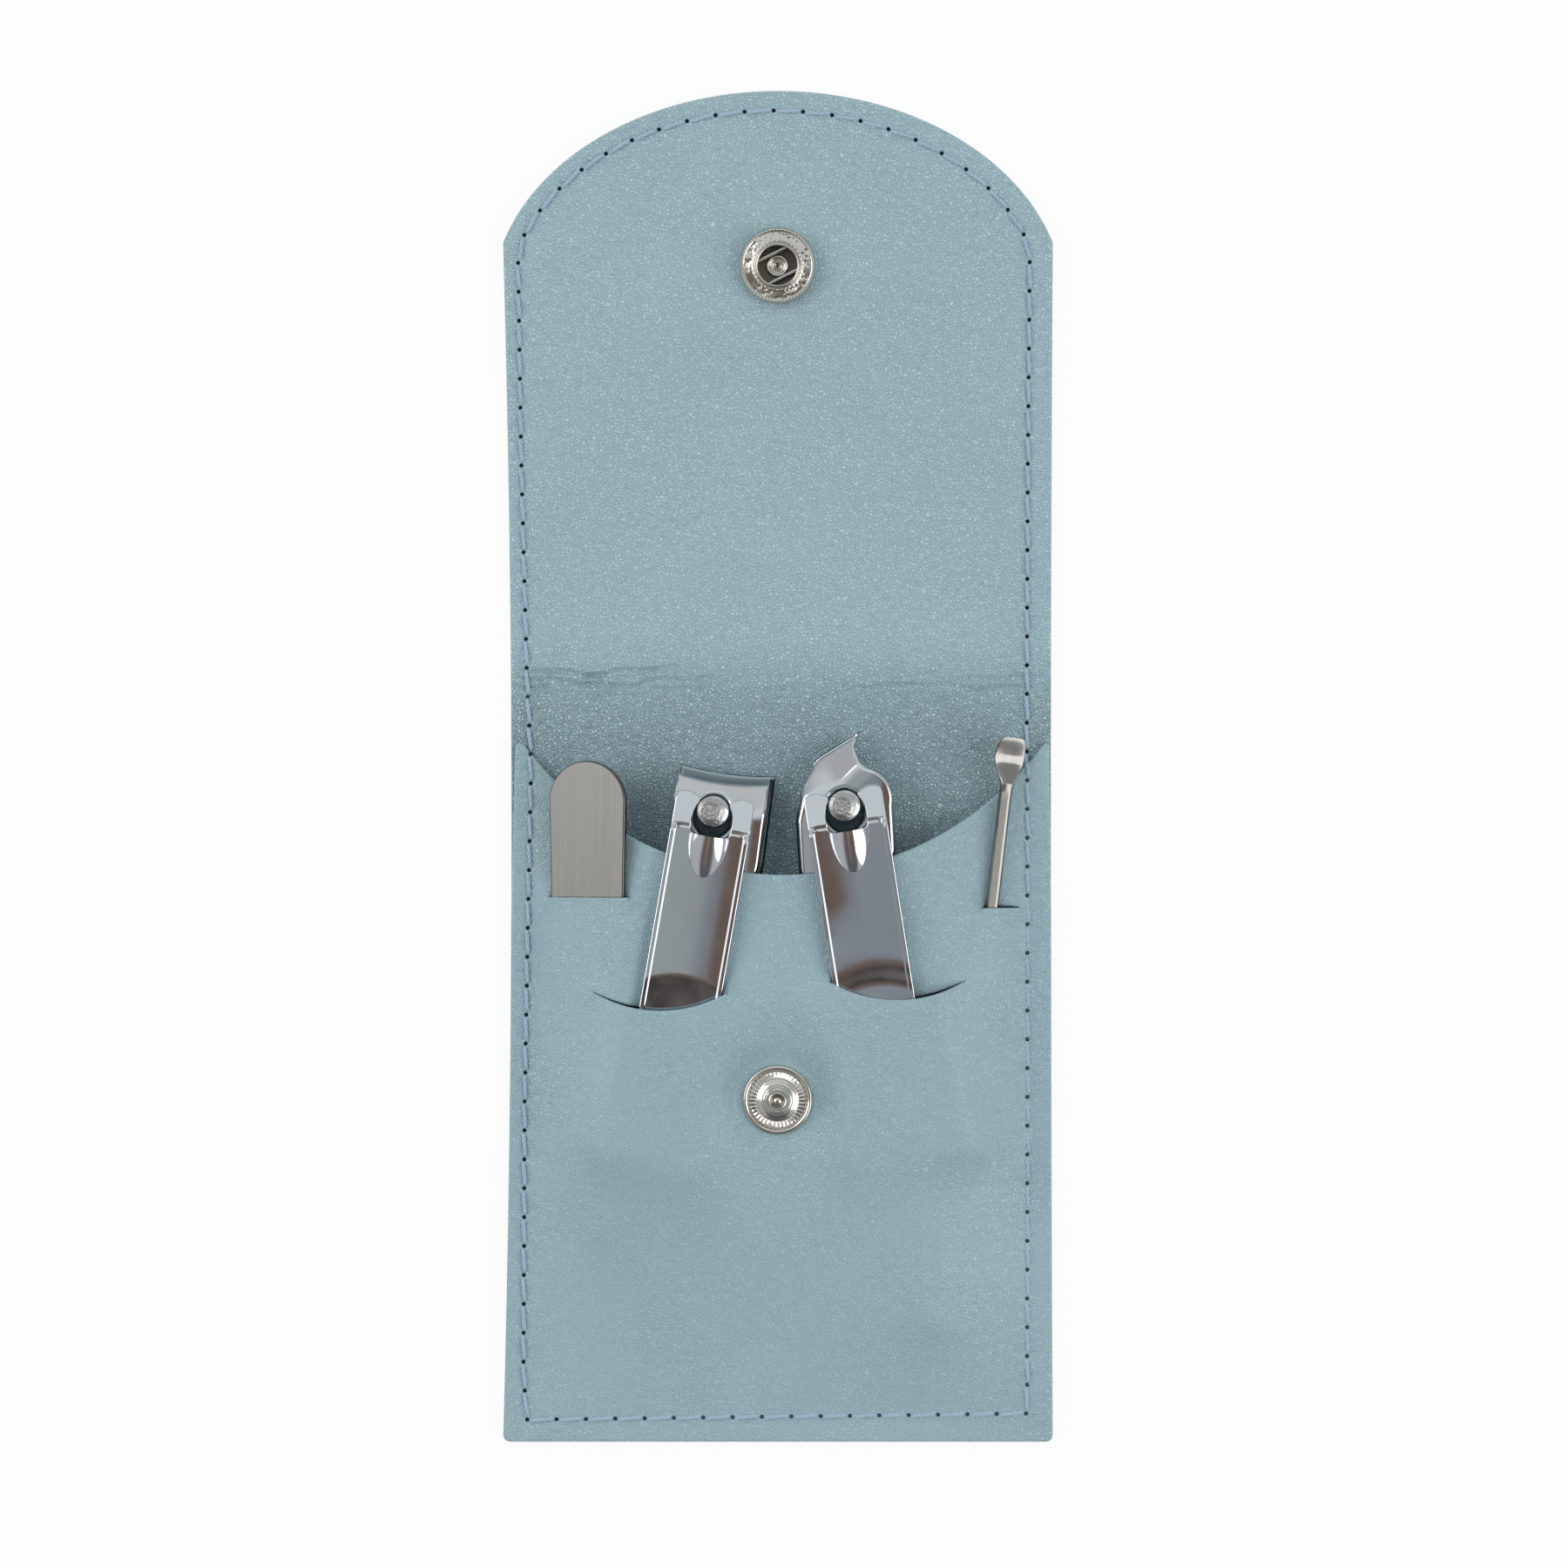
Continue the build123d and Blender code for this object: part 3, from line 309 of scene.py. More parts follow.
def sheet_points(loops, step, rounding, extra=None, jitter=0.18, seed=1):
    """Plan points and triangles that fill a shape with holes: its edge, rings inside it, then a grid."""
    loops = [resampled(loop, step * (0.6 if rounding else 1)) for loop in loops]
    starts = np.vstack(loops)
    ends = np.vstack([np.roll(loop, -1, 0) for loop in loops])
    # rings of points where a rounded edge has turned by these angles
    angles = (28, 55, 90) if rounding < 0.4 else (20, 36, 52, 66, 79, 90)
    rings = [rounding * (1 - math.cos(math.radians(a))) for a in angles] if rounding else []
    rings += [rounding * 1.3] if rounding else []
    found = []
    for ring in rings:
        for i, loop in enumerate(loops):
            ahead = np.roll(loop, -1, 0) - np.roll(loop, 1, 0)
            ahead /= np.maximum(np.hypot(*ahead.T)[:, None], 1e-9)
            side = np.column_stack([-ahead[:, 1], ahead[:, 0]])
            area = (loop[:, 0] * np.roll(loop[:, 1], -1) - np.roll(loop[:, 0], -1) * loop[:, 1]).sum()
            side *= np.sign(area) * (1 if i == 0 else -1)
            points = loop + side * ring
            found.append(points[line_distance(points, starts, ends) > ring * 0.93])
    low, high = loops[0].min(0), loops[0].max(0)
    xs = np.arange(low[0], high[0], step)
    ys = np.arange(low[1], high[1], step * 0.866)
    gx, gy = np.meshgrid(xs, ys)
    gx = gx + (np.arange(len(ys)) % 2)[:, None] * step / 2
    grid = np.column_stack([gx.ravel(), gy.ravel()])
    grid += np.random.default_rng(seed).uniform(-jitter, jitter, grid.shape) * step
    found.append(grid)
    if extra is not None:
        found[-1] = grid[nearest(grid, extra) > step * 0.45]
        found.append(extra)
    inner = found[-1] if extra is None else np.vstack(found[-2:])
    away = line_distance(inner, starts, ends)
    inner = inner[away > rounding + step * 0.3]
    inner = inner[inside(inner, loops[0])]
    for loop in loops[1:]:
        inner = inner[~inside(inner, loop)]
    ring_points = found[: -1 if extra is None else -2]
    cloud = np.vstack([starts, *ring_points, inner])
    edges, first = [], 0
    for loop in loops:
        n = len(loop)
        edges += [(first + i, first + (i + 1) % n) for i in range(n)]
        first += n
    made = geometry.delaunay_2d_cdt([Vector(p) for p in cloud], edges, [], 0, 1e-5)
    points = np.array([tuple(v) for v in made[0]])
    triangles = np.array([f for f in made[2] if len(f) == 3])
    middle = points[triangles].mean(1)
    keep = inside(middle, loops[0])
    for loop in loops[1:]:
        keep &= ~inside(middle, loop)
    triangles = triangles[keep]
    used, back = np.unique(triangles.ravel(), return_inverse=True)
    return points[used], back.reshape(-1, 3), (starts, ends)


def drop_at_edge(away, rounding):
    """How far a rounded edge has fallen at a distance from the edge."""
    if not rounding:
        return np.zeros(len(away))
    near = np.clip(rounding - away, 0, rounding)
    return rounding - np.sqrt(np.maximum(rounding**2 - near**2, 0))


def closed_sheet(points, triangles, top, under):
    """Points and faces of a closed sheet: top, underside and the wall round every edge."""
    n = len(points)
    solid = np.vstack([np.column_stack([points, top]), np.column_stack([points, under])])
    sides = np.vstack([triangles[:, [0, 1]], triangles[:, [1, 2]], triangles[:, [2, 0]]])
    key = {tuple(s) for s in sides.tolist()}
    faces = [tuple(t) for t in triangles.tolist()]
    faces += [(c + n, b + n, a + n) for a, b, c in triangles.tolist()]
    for a, b in sides.tolist():
        if (b, a) not in key:
            faces.append((b, a, a + n, b + n))
    return solid, faces


def skin(rings, sides, first=0):
    """Faces round a row of point rings, its two ends closed."""
    faces = []
    for i in range(rings - 1):
        here, ahead = first + i * sides, first + (i + 1) * sides
        for j in range(sides):
            k = (j + 1) % sides
            faces.append((here + j, ahead + j, ahead + k, here + k))
    faces.append(tuple(first + j for j in range(sides)))
    faces.append(tuple(first + (rings - 1) * sides + j for j in reversed(range(sides))))
    return faces


def placed(points, matrix):
    """Points moved by a 4x4 in mm."""
    m = np.array(matrix)
    return np.asarray(points) @ m[:3, :3].T + m[:3, 3]


def plate(name, loops, step, rounding, top, under, material, matrix, extra=None, smooth=38, more=None):
    """A sheet-metal piece: a plan outline with rounded edges between two height functions."""
    points, triangles, (starts, ends) = sheet_points(loops, step, rounding, extra, 0.0)
    away = line_distance(points, starts, ends)
    x, y = points.T
    high, low = top(x, y), under(x, y)
    fall = drop_at_edge(away, rounding)
    fall = np.minimum(fall, (high - low) * 0.5)
    solid, faces = closed_sheet(points, triangles, high - fall, low + fall)
    if more:
        faces += [tuple(i + len(solid) for i in face) for face in more[1]]
        solid = np.vstack([solid, more[0]])
    return object_from(name, placed(solid, matrix), faces, material, smooth)


def second_finish(piece, material, matrix, chosen):
    """Gives another material to the faces whose centres and normals, in a frame in mm, are chosen."""
    piece.data.materials.append(material)
    last = len(piece.data.materials) - 1
    back = np.array(matrix.inverted())
    for face in piece.data.polygons:
        centre = back[:3, :3] @ (np.array(face.center) / MM) + back[:3, 3]
        if chosen(centre, back[:3, :3] @ np.array(face.normal)):
            face.material_index = last


def turned(name, profile, material, matrix, segments=96, relief=None, smooth=38, shift=None):
    """A round piece turned from a half section of (radius, height) points, from the axis out and back."""
    profile = np.array(profile, float)
    angle = round_angles(segments)
    points, rings, faces = [], [], []
    for radius, height in profile:
        aside = shift(height) if shift else 0.0
        if radius < 1e-6:
            rings.append([len(points)])
            points.append((aside, 0, height))
            continue
        lift = relief(radius, height, angle) if relief else np.zeros(segments)
        rings.append(list(range(len(points), len(points) + segments)))
        points += list(zip(aside + radius * np.cos(angle), radius * np.sin(angle), height + lift))
    for a, b in zip(rings, rings[1:] + ([rings[0]] if len(rings[0]) > 1 else [])):
        if len(a) == len(b) == 1:
            continue
        for i in range(segments):
            j = (i + 1) % segments
            if len(a) == 1:
                faces.append((a[0], b[j], b[i]))
            elif len(b) == 1:
                faces.append((a[i], a[j], b[0]))
            else:
                faces.append((a[i], a[j], b[j], b[i]))
    return object_from(name, placed(points, matrix), faces, material, smooth)


def bent(profile, radius=0.06, steps=3):
    """A half section with its corners rounded."""
    profile = [np.array(p, float) for p in profile]
    made = [profile[0]]
    for before, here, after in zip(profile, profile[1:], profile[2:]):
        a, b = np.hypot(*(here - before)), np.hypot(*(after - here))
        reach = min(radius, a * 0.45, b * 0.45)
        p, q = here + (before - here) / a * reach, here + (after - here) / b * reach
        for t in np.linspace(0, 1, steps + 1):
            made.append((1 - t) ** 2 * p + 2 * t * (1 - t) * here + t * t * q)
    made.append(profile[-1])
    return made


# ---------------------------------------------------------------- frames of the decks and the tools
def matrix_of(origin, x_dir, normal, yaw=0.0):
    """A 4x4 whose Z is a normal, its X and Y turned about it by yaw degrees."""
    n = Vector(normal).normalized()
    x = Vector(x_dir).normalized()
    y = n.cross(x)
    c, s = math.cos(math.radians(yaw)), math.sin(math.radians(yaw))
    made = Matrix((x * c + y * s, y * c - x * s, n)).transposed().to_4x4()
    made.translation = Vector(origin)
    return made


class Deck:
    """A sloping plane that the panel or a tool lies on."""

    def __init__(self, origin, normal):
        self.origin = np.array(origin, float)
        self.normal = np.array(normal, float) / np.linalg.norm(normal)

    def raised(self, distance):
        return Deck(self.origin + self.normal * distance, self.normal)

    def height(self, x, y):
        o, n = self.origin, self.normal
        return o[2] - (n[0] * (x - o[0]) + n[1] * (y - o[1])) / n[2]

    def frame(self, x, y, lean=0.0):
        """A frame on the deck under a plan point, its Y leaning clockwise by lean degrees."""
        n = Vector(self.normal)
        ahead = Vector((math.sin(math.radians(lean)), math.cos(math.radians(lean)), 0))
        ahead.z = -(n.x * ahead.x + n.y * ahead.y) / n.z
        return matrix_of((x, y, self.height(x, y)), ahead.cross(n), n)


DECK_RISE = (DECK_Z - SHEET) / (HALF_WIDTH - SEAM_STRIP - DECK_HALF)
MIDDLE = Deck((0, DECK_Y, DECK_Z), (0, -math.sin(DECK_PITCH), math.cos(DECK_PITCH)))
LEFT = Deck((-HALF_WIDTH + SEAM_STRIP, DECK_Y, SHEET), (-DECK_RISE, -0.055, 1))
RIGHT = Deck((HALF_WIDTH - SEAM_STRIP, DECK_Y, SHEET), (DECK_RISE, -0.055, 1))
BOTTOM = Deck(
    (0, BOTTOM_Y + 4.2, SHEET), (0, -math.sin(math.radians(20)), math.cos(math.radians(20)))
)
FILE_TOP = (11.53 - HALF_WIDTH, FOLD_Y - 10.4)
PICK_TOP = (HALF_WIDTH - 5.7, FOLD_Y - 7.3)
PICK_LEAN = 6.7
FILE_FRAME = LEFT.raised(PANEL + TOOL_SEAT).frame(*FILE_TOP)
PICK_FRAME = RIGHT.raised(PANEL + TOOL_SEAT).frame(*PICK_TOP, PICK_LEAN)


def lever_matrix(clipper):
    """A frame at the pin on the panel's raised middle, its Y along the lever."""
    x, y = clipper["pin"]
    return matrix_of((x, y, DECK_Z + (y - DECK_Y) * DECK_SLOPE), (1, 0, 0), MIDDLE.normal, clipper["lever"])


def body_matrix(clipper):
    """A frame at the pin on the underside of the lower leaf, its Y along the leaves."""
    x, y = clipper["pin"]
    return matrix_of((x, y, SHEET + TOOL_SEAT), (1, 0, 0), (0, 0, 1), clipper["body"])


def local(matrix, x, y, z=0.0):
    """Where plan points at a height are in a frame: its own x, y and z."""
    m = np.array(matrix.inverted())
    points = np.column_stack([x, y, np.broadcast_to(z, np.shape(x))])
    return (points @ m[:3, :3].T + m[:3, 3]).T


# ---------------------------------------------------------------- materials
def node(tree, kind, inputs=None, **settings):
    """Adds a node with its settings, and links or values for its inputs."""
    made = tree.nodes.new(kind)
    for key, value in settings.items():
        setattr(made, key, value)
    for socket, value in (inputs or {}).items():
        if isinstance(value, bpy.types.NodeSocket):
            tree.links.new(value, made.inputs[socket])
        else:
            made.inputs[socket].default_value = value
    return made


def new_material(name):
    """A material with an empty node tree, its surface shader and its object coordinates."""
    made = bpy.data.materials.get(name)
    if made is not None:
        return made, None, None, None
    made = bpy.data.materials.new(name)
    made.use_nodes = True
    tree = made.node_tree
    tree.nodes.clear()
    surface = node(tree, "ShaderNodeBsdfPrincipled")
    node(tree, "ShaderNodeOutputMaterial", {"Surface": surface.outputs[0]})
    coordinates = node(tree, "ShaderNodeTexCoord").outputs["Object"]
    return made, tree, surface, coordinates


def rgba(colour):
    """A linear colour with its alpha, as a shader's colour socket takes it."""
    return (*colour[:3], 1.0)


def coated_leather(name, grain, relief, gloss, smooth_places, tones, roughness, deep=1.0, mouth=1.0):
    """PU-coated split leather with pearl pigment, its grain pressed in by an embossing roller.

    The eye sees a soft satin sheet, with a spark of light on each pebble that faces a lamp. Relief is
    the grain's depth in mm, gloss the pearl on top of it, whose pale colour is partly a painted
    highlight, and smooth_places how much grain is left where the leather was pulled smooth. The tones
    are how bright its valleys and its tops are: the darker valleys are painted shade. They go over 1 to
    make up for the light that the bump takes away. Deep and mouth are how many times as deep and as
    bright the grain is at the pocket's mouth; the darkening there is painted shade.
    """
    s = bpy.context.scene.manicure_leather
    made, tree, surface, at = new_material(name)
    if tree is None:
        return made
    per_mm = 1 / MM
    # The pebbles: flat-topped islands of many shapes between narrow valleys.
    wander = node(tree, "ShaderNodeTexNoise", {"Vector": at, "Scale": per_mm / 1.1, "Detail": 3.0})
    off = node(
        tree, "ShaderNodeVectorMath",
        {0: wander.outputs["Color"], 1: (0.0011, 0.0011, 0.0011), 2: at}, operation="MULTIPLY_ADD",
    )
    pebble = node(
        tree, "ShaderNodeTexVoronoi", {"Vector": off.outputs[0], "Scale": 1 / grain},
        feature="DISTANCE_TO_EDGE",
    )
    dome = node(
        tree, "ShaderNodeMapRange", {"Value": pebble.outputs["Distance"], "From Min": 0.0, "From Max": 0.27},
        interpolation_type="SMOOTHSTEP",
    )
    # Drifts some 14 mm wide where the roller pressed harder or the leather was pulled smooth.
    drift = node(
        tree, "ShaderNodeTexNoise", {"Vector": at, "Scale": per_mm / 14, "Detail": 3.0, "Roughness": 0.55}
    )
    pressed = node(
        tree, "ShaderNodeMapRange",
        {"Value": drift.outputs["Fac"], "From Min": 0.36, "From Max": 0.6,
         "To Min": smooth_places, "To Max": 1.0},
    )
    pores = node(tree, "ShaderNodeTexNoise", {"Vector": at, "Scale": per_mm / 0.24, "Detail": 2.0})
    lifted = node(tree, "ShaderNodeMath", {0: dome.outputs[0], 1: pressed.outputs[0]}, operation="MULTIPLY")
    height = node(
        tree, "ShaderNodeMath", {0: pores.outputs["Fac"], 1: 0.3, 2: lifted.outputs[0]},
        operation="MULTIPLY_ADD",
    )
    # Below the fold, at the pocket's mouth, the grain is deeper, and darker with painted shade.
    along = node(tree, "ShaderNodeSeparateXYZ", {0: at}).outputs["Y"]
    deeper, darker = (
        node(
            tree, "ShaderNodeMapRange",
            {"Value": along, "From Min": low * MM, "From Max": high * MM, "To Min": value, "To Max": 1.0},
            interpolation_type="SMOOTHSTEP",
        ).outputs[0]
        for value, low, high in ((deep, 3, 18), (mouth, -2, 20))
    )
    opened = node(tree, "ShaderNodeMath", {0: height.outputs[0], 1: deeper}, operation="MULTIPLY")
    bump = node(
        tree, "ShaderNodeBump", {"Height": opened.outputs[0], "Strength": 1.0, "Distance": relief * MM}
    )
    clouds = node(
        tree, "ShaderNodeTexNoise", {"Vector": at, "Scale": per_mm / 24, "Detail": 4.0, "Roughness": 0.6}
    )
    cloudy = node(
        tree, "ShaderNodeMapRange", {"Value": clouds.outputs["Fac"], "From Min": 0.3, "From Max": 0.68}
    )
    ground = node(
        tree, "ShaderNodeMix",
        {"Factor": cloudy.outputs[0], 6: rgba(s.cloud), 7: rgba(s.colour)}, data_type="RGBA",
    )
    # The pearl pigment gathers in short worm-like streaks on top of the pebbles: partly a painted highlight.
    streak = node(
        tree, "ShaderNodeTexNoise", {"Vector": off.outputs[0], "Scale": 1 / (grain * 0.53), "Detail": 1.0}
    )
    streaked = node(
        tree, "ShaderNodeMapRange", {"Value": streak.outputs["Fac"], "From Min": 0.47, "From Max": 0.57}
    )
    # Painted shade: the valleys are darker, as less light reaches them.
    painted_valley_shade = node(
        tree, "ShaderNodeMapRange",
        {"Value": lifted.outputs[0], "From Min": 0.0, "From Max": 0.8,
         "To Min": tones[0], "To Max": tones[1]},
    )
    tone = node(tree, "ShaderNodeMath", {0: painted_valley_shade.outputs[0], 1: darker}, operation="MULTIPLY")
    shaded = node(
        tree, "ShaderNodeVectorMath", {0: ground.outputs[2], "Scale": tone.outputs[0]}, operation="SCALE"
    )
    # Painted highlight: where the pale pearl colour is laid over the pebbles.
    crown = node(tree, "ShaderNodeMath", {0: lifted.outputs[0], 1: streaked.outputs[0]}, operation="MULTIPLY")
    painted_highlight_share = node(tree, "ShaderNodeMath", {0: crown.outputs[0], 1: gloss}, operation="MULTIPLY")
    colour = node(
        tree, "ShaderNodeMix",
        {"Factor": painted_highlight_share.outputs[0], 6: shaded.outputs[0], 7: rgba(s.pearl)}, data_type="RGBA",
    )
    tree.links.new(colour.outputs[2], surface.inputs["Base Color"])
    tree.links.new(bump.outputs[0], surface.inputs["Normal"])
    surface.inputs["Roughness"].default_value = roughness
    surface.inputs["IOR"].default_value = 1.5
    return made


def speckled(name, dark, light, size, detail, depth, roughness, metallic=0.0, sheen=0.0):
    """A surface of two close shades in small marks, which may also stand out: sizes in mm."""
    made, tree, surface, at = new_material(name)
    if tree is None:
        return made
    marks = node(tree, "ShaderNodeTexNoise", {"Vector": at, "Scale": 1 / (size * MM), "Detail": detail})
    shade = node(
        tree, "ShaderNodeMix", {"Factor": marks.outputs["Fac"], 6: rgba(dark), 7: rgba(light)},
        data_type="RGBA",
    )
    tree.links.new(shade.outputs[2], surface.inputs["Base Color"])
    if depth:
        bump = node(tree, "ShaderNodeBump", {"Height": marks.outputs["Fac"], "Distance": depth * MM})
        tree.links.new(bump.outputs[0], surface.inputs["Normal"])
    surface.inputs["Roughness"].default_value = roughness
    surface.inputs["Metallic"].default_value = metallic
    surface.inputs["Sheen Weight"].default_value = sheen
    return made


def polyester_thread():
    """Bonded polyester sewing thread, three strands twisted: satin, with dark grooves.

    Single filaments are about 0.02 mm and too fine to show, so they are drawn 0.1 mm wide.
    """
    s = bpy.context.scene.manicure_stitching
    return speckled("bonded_polyester_thread", s.shade, s.colour, 0.1, 2.0, 0.03, 0.5, sheen=0.3)


def painted_hole_shade():
    """Painted shade on the raw edge of the leather inside a needle hole, where hardly any light gets in."""
    return speckled("needle_hole_painted_shade", linear("#1c2a38"), linear("#3a4c5e"), 0.1, 2.0, 0, 0.95)


def grey_board():
    """Pressed grey board, the stiffener between cover and lining: matt, with flecks of pulp."""
    return speckled("pressed_grey_board", linear("#7d7a74"), linear("#a8a49b"), 0.4, 5.0, 0, 0.9)


def plated(name, colour, roughness, spread):
    """Bright plating over polished steel: a mirror with faint wipe marks."""
    made, tree, surface, at = new_material(name)
    if tree is None:
        return made
    wipe = node(tree, "ShaderNodeTexNoise", {"Vector": at, "Scale": 1 / (3.5 * MM), "Detail": 3.0})
    rough = node(
        tree, "ShaderNodeMapRange",
        {"Value": wipe.outputs["Fac"], "From Min": 0.4, "From Max": 0.7,
         "To Min": roughness, "To Max": roughness + spread},
    )
    shade = node(
        tree, "ShaderNodeMix",
        {"Factor": wipe.outputs["Fac"], 6: rgba([c * 0.93 for c in colour]), 7: rgba(colour)},
        data_type="RGBA",
    )
    tree.links.new(shade.outputs[2], surface.inputs["Base Color"])
    tree.links.new(rough.outputs[0], surface.inputs["Roughness"])
    surface.inputs["Metallic"].default_value = 1.0
    return made


DULL_STEELS = {
    # darker and lighter shade, roughness, size of the marks in mm, depth of the marks in mm
    # painted reflection: the ground jaw's blue-grey tint stands for the leather it mirrors
    "ground_jaw_painted_reflection": ("#93a7ae", "#a3b5bb", 0.6, 0.5, 0.01),
    # painted shade: this near-black steel stands for parts that lie in shadow
    "painted_shade_steel": ("#2f393e", "#59656a", 0.3, 0.7, 0.03),
    "peened_steel": ("#8d8f8f", "#c4c4c2", 0.32, 0.35, 0.08),
}


def dull_steel(name):
    """Steel where no polishing wheel has been: ground or peened, grey and soft. The dark one is painted shade,
    and the ground jaw's blue-grey tint a painted reflection of the leather.
    """
    dark, light, roughness, size, depth = DULL_STEELS[name]
    return speckled(name, linear(dark), linear(light), size, 4.0, depth, roughness, 1.0)


def brushed(name, turn, across, along, share):
    """Stainless steel drawn over a belt: fine lines along the tool, a broad soft shine across them.

    The share is how bright the steel is left: the file's faces are made darker, as painted shade.
    """
    s = bpy.context.scene.manicure_metal
    made, tree, surface, at = new_material(name)
    if tree is None:
        return made
    turned_at = node(
        tree, "ShaderNodeMapping",
        {"Vector": at, "Rotation": (0, 0, math.radians(turn)), "Scale": (1 / across, 1 / along, 1 / along)},
    )
    lines = node(
        tree, "ShaderNodeTexNoise",
        {"Vector": turned_at.outputs[0], "Scale": 1.0, "Detail": 4.0, "Roughness": 0.7},
    )
    groove, ridge = (rgba([c * share * tone for c in s.steel]) for tone in (0.72, 1.12))
    shade = node(
        tree, "ShaderNodeMix", {"Factor": lines.outputs["Fac"], 6: groove, 7: ridge}, data_type="RGBA"
    )
    bump = node(
        tree, "ShaderNodeBump", {"Height": lines.outputs["Fac"], "Distance": 0.006 * MM, "Strength": 0.6}
    )
    tree.links.new(shade.outputs[2], surface.inputs["Base Color"])
    tree.links.new(bump.outputs[0], surface.inputs["Normal"])
    surface.inputs["Metallic"].default_value = 1.0
    surface.inputs["Roughness"].default_value = 0.22
    return made


def darken_holes(piece, holes, radius):
    """Paints shade on the bare fibre where a sheet's needle holes are."""
    faces = piece.data.polygons
    centre, normal = np.empty(3 * len(faces)), np.empty(3 * len(faces))
    faces.foreach_get("center", centre)
    faces.foreach_get("normal", normal)
    pierced = nearest(centre.reshape(-1, 3)[:, :2] / MM, holes) < radius * 0.85
    pierced &= np.abs(normal.reshape(-1, 3)[:, 2]) > 0.1
    piece.data.materials.append(painted_hole_shade())
    faces.foreach_set("material_index", pierced.astype(np.int32))


# ---------------------------------------------------------------- the seam's line
def seam_holes():
    """The needle holes in plan, in order round the case from the bottom left corner."""
    pitch = bpy.context.scene.manicure_stitching.stitch / MM
    corner_left, corner_right = (-33.1, -86.2), (32.75, -85.4)
    left = np.array([corner_left, (-33.6, -80.5), (-33.45, -45), (-33.0, -20), (-32.6, -1), (-33.2, 12.6),
                     (-33.9, 40), (-34.3, 66.5)])
    right = np.array([(33.25, 66.6), (33.0, 40), (32.9, 12.6), (32.9, -30), (32.9, -82.8), corner_right])
    t = np.linspace(math.radians(163.2), math.radians(16.6), 160)
    arch = np.column_stack([-0.5 + 35.3 * np.cos(t), ARCH_Y + 25.45 * np.sin(t)])
    bottom = np.array([corner_right, corner_left])
    holes = []
    for line in (left, np.vstack([left[-1], arch, right[0]]), right, bottom):
        steps = np.hypot(*np.diff(line, axis=0).T)
        reach = np.concatenate([[0], np.cumsum(steps)])
        n = max(1, round(reach[-1] / pitch))
        at = np.linspace(0, reach[-1], n + 1)[:-1]
        holes.append(np.column_stack([np.interp(at, reach, line[:, i]) for i in (0, 1)]))
    return np.vstack(holes)


def hole_points(holes, radius):
    """Mesh points round each needle hole, so that the hole is really there."""
    made = [holes]
    for share, n in ((0.55, 8), (0.95, 10), (1.45, 10)):
        t = round_angles(n)
        ring = np.column_stack([np.cos(t), np.sin(t)]) * radius * share
        made.append((holes[:, None, :] + ring[None]).reshape(-1, 2))
    return np.vstack(made)


def hole_depth(x, y, holes, radius, depth):
    """How far the surface is pushed down by the needle holes, and by the thread between them."""
    p = np.column_stack([x, y])
    pit = np.clip(1 - nearest(p, holes) / (radius * 1.05), 0, 1)
    groove = line_distance(p, holes, np.roll(holes, -1, 0))
    return depth * eased(pit) ** 0.7 + 0.1 * np.exp(-((groove / 0.75) ** 2))


# ---------------------------------------------------------------- leather sheets
def lift(y):
    """How far the flap rises because it rests on the snap's cap."""
    rise = math.sin(math.radians(FLAP_LIFT))
    return 0.6 * rise * np.logaddexp(0, (y - UPPER_HINGE) / 0.6)


CREASES = (
    # start x, end x, height of the line, its waver, depth in mm
    (-36.0, -12.0, 12.55, 0.35, 0.16), (-35.5, -17.0, 11.7, 0.30, 0.12), (-36.0, -20.0, 10.55, 0.25, 0.14),
    (-30.0, -6.0, 11.1, 0.45, 0.08), (-20.0, 4.0, 10.1, 0.30, 0.05), (8.0, 36.0, 10.55, 0.22, 0.11),
    (20.0, 36.2, 11.6, 0.25, 0.08),
)


def creases(x, y):
    """The fold lines across the spine: narrow dents with a swelling on each side."""
    made = np.zeros(len(x))
    for i, (a, b, height, waver, depth) in enumerate(CREASES):
        line = height + waver * (np.sin(x * 0.31 + i * 1.7) + 0.5 * np.sin(x * 0.83 + i * 2.9))
        fade = np.clip((x - a) / 4, 0, 1) * np.clip((b - x) / 4, 0, 1)
        d = (y - line) / 0.32
        made += 1.8 * fade * depth * (-np.exp(-d * d) + 0.55 * np.exp(-((np.abs(d) - 1.9) ** 2) / 0.9))
    return made


def slack(x, y):
    """The gentle unevenness of leather glued over board."""
    return 0.05 * (
        np.sin(x * 0.11 + 0.7) * np.sin(y * 0.083 + 1.3)
        + 0.6 * np.sin(x * 0.19 + y * 0.07 + 2.1)
        + 0.4 * np.sin(y * 0.21 - x * 0.05)
    )


def crease_points():
    """Closer mesh points where the fold lines are."""
    xs, ys = np.meshgrid(np.arange(-35.4, 35.6, 0.6), np.arange(SPLIT_Y + 0.5, 13.9, 0.17))
    return np.column_stack([xs.ravel(), ys.ravel()])


def sheet_piece(name, loop, step, top, under, material, extra):
    """One leather sheet, its outer edge rounded and its cut at the spine left square."""
    rounding = bpy.context.scene.manicure_leather.edge / MM
    points, triangles, (starts, ends) = sheet_points([loop], step, rounding, extra)
    outer = (np.abs(starts[:, 1] - SPLIT_Y) > 1e-4) | (np.abs(ends[:, 1] - SPLIT_Y) > 1e-4)
    away = line_distance(points, starts[outer], ends[outer])
    x, y = points.T
    fall = drop_at_edge(away, rounding)
    solid, faces = closed_sheet(points, triangles, top(x, y) - fall, under(x, y) + fall)
    return object_from(name, solid, faces, material)


def settle(piece, body, cad_node):
    """Ties a piece to the body it moves with, and hides the CAD node it replaces."""
    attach(piece, body)
    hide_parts(cad_node)


def bend_at(piece):
    """Bakes a finished piece's place into its mesh."""
    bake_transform(piece)


def hole_radius():
    return bpy.context.scene.manicure_stitching.hole / MM / 2


